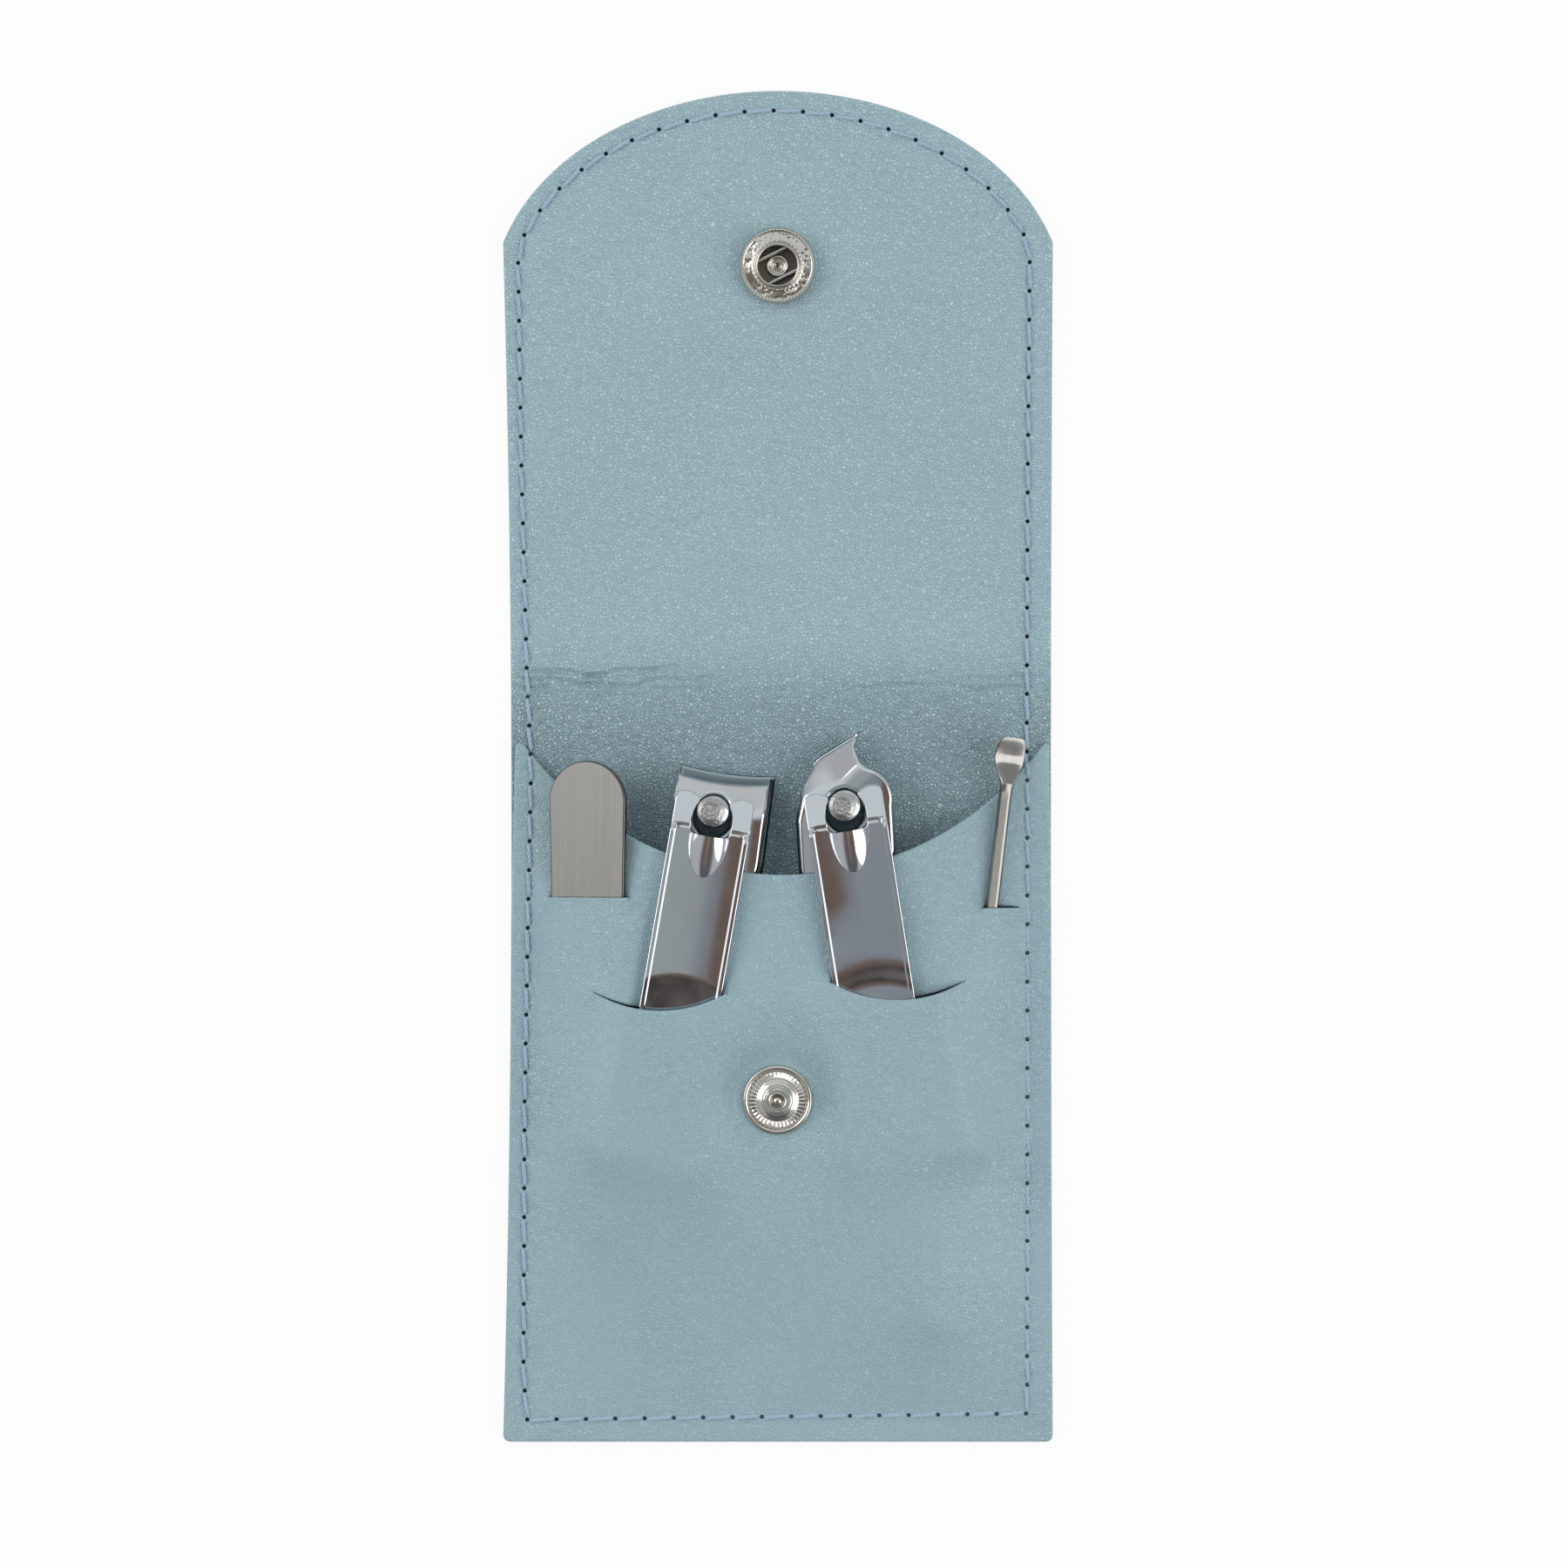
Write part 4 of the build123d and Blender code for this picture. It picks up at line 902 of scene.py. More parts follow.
def refinish(cad_node, material):
    """Gives a CAD piece that stays as it is its real material."""
    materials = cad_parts[cad_node].data.materials
    materials.clear()
    materials.append(material)


# the part's name, whether it is the lower one, whether the creases are on it, and the CAD nodes that
# its lining and its cover replace
CASE_PARTS = (
    ("pouch", True, False, ("back_lining", "spine_lining"), ("back_cover", "spine_cover")),
    ("flap", False, True, ("flap_lining",), ("flap_cover",)),
)


class ManicureBuildCase(bpy.types.Operator):
    """Build the cover and the lining of the pouch, the spine and the flap"""

    bl_idname = "manicure.build_case"
    bl_label = "Case Leather"

    def execute(self, context):
        step = context.scene.manicure_leather.mesh_step / MM
        grain = context.scene.manicure_leather.grain
        # The lining's mouth of 0.93 paints shade at the pocket's mouth.
        lining = coated_leather(
            "pearl_lining_leather", grain, relief=0.08, gloss=0.4, smooth_places=0.85, tones=(1.02, 1.22),
            roughness=0.2, deep=2.7, mouth=0.93,
        )
        cover = coated_leather(
            "pearl_cover_leather", grain, relief=0.08, gloss=0.35, smooth_places=0.85, tones=(1.02, 1.22),
            roughness=0.26,
        )
        outline = case_outline()
        holes = seam_holes()
        radius = hole_radius()
        all_holes = hole_points(holes, radius)

        def lining_top(x, y):
            pits = hole_depth(x, y, holes, radius, HOLE_DEPTH)
            return SHEET + lift(y) + slack(x, y) + creases(x, y) - pits - 0.05

        def middle(x, y):
            return COVER_TOP + lift(y)

        def cover_under(x, y):
            return lift(y) + np.minimum(hole_depth(x, y, holes, radius, 0.4) * 2.8, 0.48)

        for part, lower, creased, inner_nodes, outer_nodes in CASE_PARTS:
            loop = cropped(outline, SPLIT_Y, not lower)
            mine = all_holes[(all_holes[:, 1] < SPLIT_Y - 0.4) == lower]
            mine = mine[np.abs(mine[:, 1] - SPLIT_Y) > 0.4]
            extra = np.vstack([mine, crease_points()]) if creased else mine
            inner = sheet_piece(f"{part}_lining_leather", loop, step, lining_top, middle, lining, extra)
            outer = sheet_piece(f"{part}_cover_leather", loop, step, middle, cover_under, cover, mine)
            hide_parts(*inner_nodes)
            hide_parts(*outer_nodes)
            for piece, slot in ((inner, "leather_lining"), (outer, "leather_outer")):
                darken_holes(piece, holes, radius)
                bend_at(piece)
            board = "back_board" if lower else "flap_board"
            refinish(board, grey_board())
        return {"FINISHED"}


# ---------------------------------------------------------------- the pocket panel
SLIT_GAP = 0.14
ARCS = {"straight": ((-15.4, FOLD_Y - 43.15), STRAIGHT), "slant": ((15.6, FOLD_Y - 41.75), SLANT)}
ARC_WIDTH, ARC_DEPTH = 17.7, 2.4
ARC_RADIUS = (ARC_WIDTH**2 / 4 + ARC_DEPTH**2) / (2 * ARC_DEPTH)
FILE_SLIT_Y, FILE_SLIT = FOLD_Y - 28.35, (-30.2, -19.35)
PICK_SLIT_Y, PICK_SLIT = FOLD_Y - 29.75, (26.85, 31.9)


def arc_height(low, x):
    """The curved slit's lower edge over a place across the case."""
    aside = np.clip(x - low[0], -ARC_WIDTH / 2, ARC_WIDTH / 2)
    return low[1] + ARC_RADIUS - np.sqrt(ARC_RADIUS**2 - aside**2)


def slit_loop(x, y, t):
    """A slit as a thin loop over its lower edge, whose points have t from -1 to 1, its ends pointed."""
    lower = np.column_stack([x, y])
    upper = lower + np.column_stack([0 * t, SLIT_GAP * (1 - t**6)])
    return np.vstack([lower, upper[::-1][1:-1]])


def slit_loops():
    """The two curved and the two straight slits as closed loops."""
    loops = []
    t = np.linspace(-1, 1, 31)
    for low, _ in ARCS.values():
        x = low[0] + t * ARC_WIDTH / 2
        loops.append(slit_loop(x, arc_height(low, x), t))
    t = np.linspace(-1, 1, 17)
    for y, (a, b) in ((FILE_SLIT_Y, FILE_SLIT), (PICK_SLIT_Y, PICK_SLIT)):
        loops.append(slit_loop((a + b) / 2 + t * (b - a) / 2, 0 * t + y, t))
    return loops


def panel_outline():
    """The panel in plan: the case's sides below, two pointed ears and the scooped mouth above."""
    outline = cropped(case_outline(), PANEL_SIDE_Y, False)
    first = int(np.argmax((outline[:, 0] > 0) & (np.abs(outline[:, 1] - PANEL_SIDE_Y) < 1e-6)))
    below = np.roll(outline, -first - 1, 0)
    cx, cy, r = SCOOP
    reach = math.sqrt(r**2 - (cy - PANEL_TOP_Y) ** 2)
    a = math.atan2(PANEL_TOP_Y - cy, reach)
    t = np.linspace(a, -math.pi - a, 120)
    scoop = np.column_stack([cx + r * np.cos(t), cy + r * np.sin(t)])
    left_ear, right_ear = -HALF_WIDTH + LEFT_WAIST + 0.6, HALF_WIDTH - RIGHT_WAIST - 0.3
    ears = [(right_ear, PANEL_TOP_Y), *scoop, (left_ear, PANEL_TOP_Y)]
    return softened(np.vstack([below, ears]), 0.8, 25)


def half_width_at(along, stations):
    """A tool's half width at distances from its top, from (distance, half width) stations."""
    d, w = zip(*stations)
    return np.interp(-along, d, w)


FILE_HALF = 5.35
FILE_SIDES = ((0, FILE_HALF), (28, 5.1), (60, 2.4), (62.3, 2.2))
# Under a lip the panel leaves room beside the lever, and for its turns to the left and right in degrees.
LEVER_BESIDE = 6.0
SWINGS = {"straight": (2.4, 0.5), "slant": (1.1, 5.2)}


def held_between(x, y):
    """How low and how high the panel's top may be over each plan point."""
    low = np.full(len(x), SHEET + PANEL)
    high = np.full(len(x), 40.0)
    z = MIDDLE.height(x, y)
    lever_lip = MIDDLE.raised(LEVER_N + LEVER_FLOOR + LEVER_RIM + LEVER_ROOM + PANEL).height(x, y)
    for name, (slit_low, clipper) in ARCS.items():
        s, t, _ = local(lever_matrix(clipper), x, y, z)
        share = np.clip(-t / LEVER_LENGTH, 0, 1) * LEVER_LENGTH
        left, right = (LEVER_BESIDE + share * math.sin(math.radians(turn)) * 0.95 for turn in SWINGS[name])
        over = (s > -left) & (s < right) & (t > -LEVER_LENGTH - 0.6) & (t < 3)
        lip = (y < arc_height(slit_low, x) + SLIT_GAP / 2) & (np.abs(x - slit_low[0]) < ARC_WIDTH / 2 + 5)
        low = np.where(over & lip, np.maximum(low, lever_lip), low)
        under = over & ~lip & (np.abs(s) < LEVER_HALF + 0.2)
        high = np.where(under, np.minimum(high, MIDDLE.raised(PANEL + 0.12).height(x, y)), high)
        bx, by, _ = local(body_matrix(clipper), x, y, z)
        wide = np.interp(-by, (-6, 6, 50, 53), (7.3, 6.8, 5.2, 3.0))
        body = (np.abs(bx) < wide) & (by > -52.6)
        low = np.where(body, np.maximum(low, MIDDLE.raised(PANEL - 0.08).height(x, y)), low)
    fx, fy, _ = local(FILE_FRAME, x, y, LEFT.height(x, y))
    px, py, _ = local(PICK_FRAME, x, y, RIGHT.height(x, y))
    over_file = (np.abs(fx) < half_width_at(fy, FILE_SIDES) + 0.15) & (fy > -62.4) & (fy < 0.2)
    over_pick = (np.abs(px) < 1.35) & (py > -78.5) & (py < 0)
    for deck, over, slit_y, thick in (
        (LEFT, over_file, FILE_SLIT_Y, FILE_THICK), (RIGHT, over_pick, PICK_SLIT_Y, PICK_THICK),
    ):
        lip = y < slit_y + SLIT_GAP / 2
        above = deck.raised(PANEL + TOOL_SEAT + thick + LIP_ROOM + PANEL).height(x, y)
        low = np.where(over & lip, np.maximum(low, above), low)
        high = np.where(over & ~lip, np.minimum(high, deck.raised(PANEL + 0.15).height(x, y)), high)
    return low, np.maximum(high, low)


def relaxed(points, triangles, start, low, high, fixed, rounds):
    """Heights of a sheet pulled smooth over what it must stay above and below."""
    sides = np.vstack([triangles[:, [0, 1]], triangles[:, [1, 2]], triangles[:, [2, 0]]])
    sides = np.unique(np.sort(sides, 1), axis=0)
    a, b = sides.T
    weight = 1 / np.maximum(np.hypot(*(points[a] - points[b]).T), 0.05)
    total = np.bincount(a, weight, len(points)) + np.bincount(b, weight, len(points))
    z = before = np.clip(start, low, high)
    for i in range(rounds):
        pulled = np.bincount(a, weight * z[b], len(points)) + np.bincount(b, weight * z[a], len(points))
        new = pulled / total
        if i < rounds - 4:
            new = np.clip(new + 0.9 * (z - before), low, high)
        before, z = z, np.where(fixed, start, new)
    return z


def steepness(points, triangles, z):
    """The upward part of each point's normal."""
    solid = np.column_stack([points, z])
    a, b, c = (solid[triangles[:, i]] for i in range(3))
    normal = np.cross(b - a, c - a)
    made = np.zeros((len(points), 3))
    for i in range(3):
        np.add.at(made, triangles[:, i], normal)
    return np.abs(made[:, 2]) / np.maximum(np.linalg.norm(made, axis=1), 1e-12)


class ManicureBuildPanel(bpy.types.Operator):
    """Build the pocket panel, drawn tight over the tools, with its mouth and its four slits"""

    bl_idname = "manicure.build_panel"
    bl_label = "Pocket Panel"

    def execute(self, context):
        s = context.scene.manicure_leather
        leather = coated_leather(
            "pearl_panel_leather", s.panel_grain, relief=0.06, gloss=0.25, smooth_places=0.5,
            tones=(0.95, 1.06), roughness=0.3,
        )
        outline, case = panel_outline(), case_outline()
        holes = seam_holes()
        radius = hole_radius()
        mine = hole_points(holes[holes[:, 1] < 1.0], radius)
        stud_ring = np.array(
            [(STUD[0] + r * math.cos(t), STUD[1] + r * math.sin(t))
             for r in (2, 3.5, 4.6, 5.4) for t in round_angles(24)]
        )
        extra = np.vstack([mine, stud_ring])
        rounding = s.edge / MM
        points, triangles, (starts, ends) = sheet_points(
            [outline, *slit_loops()], s.mesh_step / MM * 0.8, rounding, extra
        )
        x, y = points.T
        low, high = held_between(x, y)
        decks = [d.raised(PANEL).height(x, y) for d in (MIDDLE, LEFT, RIGHT, BOTTOM)]
        start = np.maximum(np.min(decks, axis=0), SHEET + PANEL)
        at_edge = line_distance(points, case, np.roll(case, -1, 0)) < 3.0
        at_stud = np.hypot(x - STUD[0], y - STUD[1]) < 5.6  # the stud presses the panel flat
        start = np.where(at_edge, SHEET + PANEL, start)
        start = np.where(at_stud, MIDDLE.raised(PANEL).height(x, y), start)
        top = relaxed(points, triangles, start, low, high, at_edge | at_stud, 260)
        up = np.maximum(steepness(points, triangles, top), 0.45)
        away = line_distance(points, starts, ends)
        fall = drop_at_edge(away, rounding)
        under = np.maximum(top - PANEL / up, SHEET + 0.005)
        top = top - hole_depth(x, y, holes, radius, HOLE_DEPTH) * at_edge
        top = np.maximum(top, under + 0.12)
        solid, faces = closed_sheet(points, triangles, top - fall, under + np.minimum(fall, 0.25))
        panel = object_from("pocket_panel_leather", solid, faces, leather)
        darken_holes(panel, holes, radius)
        settle(panel, "pouch", "pocket_panel")
        return {"FINISHED"}


# ---------------------------------------------------------------- stitching
TWIST = 2.9  # mm of thread for one turn of its strands


def thread_mesh(stretches, level, up, rings, sides):
    """Points and faces of twisted three-strand stitches between pairs of needle holes."""
    thickness = bpy.context.scene.manicure_stitching.thickness / MM
    strand = thickness / 2 / 2.155  # three strands that touch fill a circle 2.155 times as wide as one
    off = strand * 1.155
    points, faces = [], []
    theta = round_angles(sides)
    for count, (a, b) in enumerate(stretches):
        along = b - a
        length = np.hypot(*along)
        along = along / length
        side = np.array([-along[1], along[0]])
        t = np.linspace(0, 1, rings)
        slant = 0.1 * np.sin((t - 0.5) * math.pi)
        centre = a + along * (0.24 + (length - 0.48) * t)[:, None] + side * slant[:, None]
        dive = 0.6 * (np.exp(-t * length / 0.2) + np.exp(-(1 - t) * length / 0.2))
        height = level(*centre.T) + up * (thickness * 0.36 - dive)
        for ply in range(3):
            turn = 2 * math.pi * (t * length / TWIST + ply / 3) + count * 2.4
            u = off * np.cos(turn)[:, None] + strand * np.cos(theta)[None]
            w = off * np.sin(turn)[:, None] + strand * np.sin(theta)[None]
            xy = centre[:, None, :] + side * u[..., None]
            ring = np.dstack([xy, height[:, None] + w])
            first = len(points)
            points.extend(ring.reshape(-1, 3).tolist())
            faces += skin(rings, sides, first)
    return points, faces


class ManicureBuildStitching(bpy.types.Operator):
    """Build the seam: every stitch on the inside and on the outside of the case"""

    bl_idname = "manicure.build_stitching"
    bl_label = "Stitching"

    def execute(self, context):
        holes = seam_holes()
        panel = panel_outline()
        pairs = list(zip(holes, np.roll(holes, -1, 0)))
        thread = polyester_thread()

        def inside_level(x, y):
            on_panel = inside(np.column_stack([x, y]), panel)
            return np.where(on_panel, SHEET + PANEL, SHEET + lift(y) + slack(x, y) - 0.05) - 0.08

        def outside_level(x, y):
            return lift(y) + 0.47

        for where, level, up, rings, sides in (
            ("inside", inside_level, 1, 20, 7), ("outside", outside_level, -1, 14, 6),
        ):
            for part, lower in (("pouch", True), ("flap", False)):
                mine = [p for p in pairs if ((p[0][1] + p[1][1]) / 2 < SPLIT_Y) == lower]
                threads = thread_mesh(mine, level, up, rings, sides)
                piece = object_from(f"{part}_{where}_stitches", *threads, thread, 60)
                bend_at(piece)
        return {"FINISHED"}


# ---------------------------------------------------------------- the ring snap
def nickel_plate():
    """Nickel plating on stamped brass, tumbled bright: a warm grey mirror, a little soft."""
    s = bpy.context.scene.manicure_metal
    return plated("nickel_plated_brass", s.nickel, 0.12, 0.14)


def tarnished_nickel():
    """The inside of the socket, where polishing doesn't reach: dark, dull nickel."""
    return plated("unpolished_nickel", linear("#5a5650"), 0.28, 0.1)


def chrome_plate():
    """Chrome plating on steel from a polishing wheel: a cool, sharp mirror."""
    s = bpy.context.scene.manicure_metal
    return plated("chrome_plated_steel", s.chrome, s.chrome_roughness, 0.05)


def flap_matrix(x, y, z):
    """A frame on the flap, which lies tilted on the snap's cap."""
    hinge = Matrix.Translation((0, UPPER_HINGE, SHEET))
    tilt = Matrix.Rotation(math.radians(FLAP_LIFT), 4, "X")
    return hinge @ tilt @ hinge.inverted() @ Matrix.Translation((x, y, z))


def beads(radius, at, width, count, size):
    """A ring of beads: how far a turned surface swells at a radius, as a function of angle."""
    share = max(0.0, 1 - abs(radius - at) / width)
    return lambda angle: size * share * np.abs(np.cos(angle * count / 2)) ** 0.8


def tube(name, path, radius, material, sides=14):
    """A round wire along a path in mm, its ends closed."""
    path = np.array(path, float)
    ahead = np.gradient(path, axis=0)
    ahead /= np.linalg.norm(ahead, axis=1)[:, None]
    up = np.array((0, 0, 1.0))
    side = np.cross(ahead, up)
    side /= np.linalg.norm(side, axis=1)[:, None]
    top = np.cross(side, ahead)
    t = round_angles(sides)
    points = path[:, None] + radius * (side[:, None] * np.cos(t)[:, None] + top[:, None] * np.sin(t)[:, None])
    n = len(path)
    faces = [
        (i * sides + j, i * sides + (j + 1) % sides, (i + 1) * sides + (j + 1) % sides, (i + 1) * sides + j)
        for i in range(n - 1) for j in range(sides)
    ]
    faces.append(tuple(range(sides))[::-1])
    faces.append(tuple((n - 1) * sides + j for j in range(sides)))
    return object_from(name, points.reshape(-1, 3), faces, material, 50)


class ManicureBuildSnap(bpy.types.Operator):
    """Build the ring snap: cap, beaded socket and spring on the flap, stud on the panel"""

    bl_idname = "manicure.build_snap"
    bl_label = "Ring Snap"

    def execute(self, context):
        nickel = nickel_plate()
        base = flap_matrix(*SOCKET, 0)
        face = flap_matrix(*SOCKET, SHEET)
        cap = turned(
            "snap_cap_dome",
            bent([(0, -0.9), (2.4, -0.85), (4.2, -0.68), (5.1, -0.42), (5.4, -0.2), (5.1, 0.0), (1.2, 0.0),
                  (1.2, 2.1), (1.5, 2.22), (1.52, 2.36), (1.3, 2.5), (1.08, 2.46), (0.98, 2.2),
                  (0.78, 2.14), (0.62, 2.3), (0.45, 2.32), (0.36, 2.05), (0, 1.98)], 0.09),
            nickel, base, 96,
        )
        top = 2.2  # the height of the ring
        dents = np.random.default_rng(5).uniform((0, 3.45, 0.1), (2 * math.pi, 4.35, 0.26), (90, 3))

        def socket_relief(radius, height, angle):
            if height < 1.4:
                return np.zeros(len(angle))
            made = beads(radius, 4.72, 0.2, 62, 0.13)(angle) + beads(radius, 3.24, 0.18, 34, 0.09)(angle)
            if 3.4 < radius < 4.45:
                for turn, out, size in dents:
                    turned_by = (angle - turn + math.pi) % (2 * math.pi) - math.pi
                    away = np.hypot(turned_by, (radius - out) / radius)
                    made -= 0.05 * np.exp(-((away * radius / size) ** 2))
            return made

        face_ring = [(4.35 - 0.1 * i, 1.79 + 0.01 * i) for i in range(10)]  # between the two rows of beads
        socket = turned(
            "snap_socket_ring",
            bent([(1.26, 0), (4.75, 0), (5.0, 0.25), (5.02, 0.6), (5.02, 1.4), (4.95, 1.72), (4.82, 1.86),
                  (4.74, 1.9), (4.66, 1.88), (4.55, 1.82), (4.44, 1.78), *face_ring,
                  (3.36, 1.9), (3.28, 1.93), (3.2, 1.93), (3.12, 1.9), (3.02, 1.87), (2.95, 1.92),
                  (2.9, 2.08), (2.78, top), (2.66, top - 0.02), (2.6, top - 0.16),
                  (2.6, 1.8), (3.65, 1.8), (3.65, 1.1), (2.95, 1.05), (2.95, 0.35), (1.26, 0.35)], 0.05, 2),
            nickel, face, 248, socket_relief,
        )
        dull = tarnished_nickel()
        second_finish(socket, dull, face, lambda c, n: c[2] < 1.75 and math.hypot(c[0], c[1]) < 3.7)
        second_finish(cap, dull, base, lambda c, n: 0.2 < c[2] < 2.02)
        turn = math.radians(27)
        reach, off = 3.3, 1.66
        half = math.sqrt(reach**2 - off**2)
        bend = math.atan2(off, half)
        flat = [(-half, -off)] + [(x, -off) for x in np.linspace(-half + 0.2, half - 0.15, 14)]
        flat += [(reach * math.cos(a), reach * math.sin(a)) for a in np.linspace(-bend, bend, 13)]
        flat += [(x, off) for x in np.linspace(half - 0.15, -half, 15)]
        path = [(x * math.cos(turn) - y * math.sin(turn), x * math.sin(turn) + y * math.cos(turn), top - 0.76)
                for x, y in flat]
        steel = plated("spring_steel_wire", linear("#c9c8c4"), 0.16, 0.08)
        spring = tube("snap_spring_wire", placed(path, face), 0.25, steel)
        settle(cap, "flap", "snap_cap")
        settle(socket, "flap", "snap_socket")
        settle(spring, "flap", "snap_spring")
        x, y = STUD
        seat = matrix_of((x, y, MIDDLE.raised(PANEL).height(x, y)), (1, 0, 0), MIDDLE.normal)

        def stud_relief(radius, height, angle):
            if not 2.85 < radius < 3.78 or height < 0.2:
                return np.zeros(len(angle))
            return 0.075 * np.cos(angle * 42) * min(1.0, (radius - 2.85) / 0.15, (3.78 - radius) / 0.1)

        stud = turned(
            "snap_stud_button",
            bent([(0.9, 0), (4.5, 0), (4.56, 0.12), (4.56, 0.36), (4.42, 0.5), (4.2, 0.54), (3.98, 0.44),
                  (3.86, 0.24), (3.76, 0.2), (3.66, 0.32), (3.4, 0.38), (3.1, 0.42), (2.92, 0.44),
                  (2.8, 0.4), (2.66, 0.46), (2.4, 0.62), (2.14, 0.72), (2.04, 0.74), (1.96, 0.84),
                  (1.86, 0.94), (1.76, 0.96), (1.66, 1.1), (1.52, 1.2), (1.34, 1.36), (1.22, 1.5),
                  (1.26, 1.85), (1.26, 2.08), (1.16, 2.24), (1.02, 2.3), (0.92, 2.2), (0.9, 2.05)], 0.05, 2),
            nickel, seat, 168, stud_relief,
        )
        post = turned(
            "snap_stud_rivet",
            bent([(0, -PANEL - 0.45), (2.95, -PANEL - 0.45), (3.1, -PANEL - 0.3), (3.1, -PANEL), (0.86, -PANEL),
                  (0.86, 1.75), (0.7, 1.78), (0.6, 1.95), (0.42, 2.12), (0.2, 2.2), (0, 2.22)], 0.06),
            nickel, seat, 64,
        )
        settle(stud, "pouch", "snap_stud")
        settle(post, "pouch", "snap_stud_post")
        return {"FINISHED"}


# ---------------------------------------------------------------- the clippers
LEAF, LEAF_GAP, TAIL_GAP = 1.1, 2.8, 0.05  # a leaf's thickness, and the gaps at the pin and at the tail
TAIL, MEET = 52.0, 42.0  # how far behind the pin the tail ends, and where the leaves meet
TAIL_HALF, RIVET_TO_TAIL = 4.3, 5.0
LEAF_SLOPE = (LEAF_GAP - TAIL_GAP) / MEET
SLANT_TIP, SLANT_HEEL = (3.28, 9.65), (-3.08, 6.2)
SLANT_TURN = math.atan2(SLANT_TIP[1] - SLANT_HEEL[1], SLANT_TIP[0] - SLANT_HEEL[0])
SLANT_EDGE = SLANT_TIP[1] * math.cos(SLANT_TURN) - SLANT_TIP[0] * math.sin(SLANT_TURN)


def circle(radius, at=(0, 0), n=36):
    t = round_angles(n)
    return np.column_stack([at[0] + radius * np.cos(t), at[1] + radius * np.sin(t)])


def straight_leaf_outline(left, right, front, hollow):
    """A leaf of the straight clipper in plan, its cutting edge hollow."""
    w, shoulder = TAIL_HALF, TAIL_HALF - TAIL
    front_edge = arc_through((right, front), ((left + right) / 2, front - hollow), (left, front), 24)
    tail = arc_through((-w, shoulder), (0, -TAIL), (w, shoulder), 24)
    return np.vstack([front_edge, [(left, -6)], tail, [(right, -6)]])


def slant_leaf_outline(grow, half):
    """A leaf of the slant clipper in plan, its cutting edge from a low heel to a high tip."""
    tip, heel = (SLANT_TIP[0], SLANT_TIP[1] + grow), (SLANT_HEEL[0], SLANT_HEEL[1] + grow)
    w, shoulder = TAIL_HALF, TAIL_HALF - TAIL
    return np.vstack([
        [tip, heel], arc_through(heel, (-4.6, 4.1), (0.9 - half, 1.9), 12)[1:], [(-half, -1.6), (-half, -8)],
        arc_through((-w, shoulder), (0, -TAIL), (w, shoulder), 24), [(half, -8)],
        arc_through((half, -0.4), (5.5, 3.3), (3.4, 4.75), 14),
        arc_through((3.4, 4.75), (2.05, 6.4), tip, 12)[1:-1],
    ])


def side_curve(*arcs):
    """A side profile as (place along, height) samples from arcs and points."""
    made = np.vstack([arc_through(*a, 20) if len(a) == 3 else np.array(a, float) for a in arcs])
    return made[np.argsort(made[:, 0], kind="stable")]


def square_to_slant(x, y):
    """How far forward plan points are, square to the slant edge; the crease behind it is a little wavy."""
    along = x * math.cos(SLANT_TURN) + y * math.sin(SLANT_TURN)
    forward = y * math.cos(SLANT_TURN) - x * math.sin(SLANT_TURN)
    return forward + 0.3 * np.sin((along + 1.0) * 0.75) * np.clip((SLANT_EDGE - forward) / 3, 0, 1)


def square_to_hollow(hollow, middle, half):
    """A function that says how far forward plan points are, square to a hollow cutting edge."""

    def square(x, y):
        bow = np.clip(1 - ((x - middle) / half) ** 2, 0, 1)
        return y + hollow * bow * np.clip((y + 4) / 5, 0, 1)

    return square


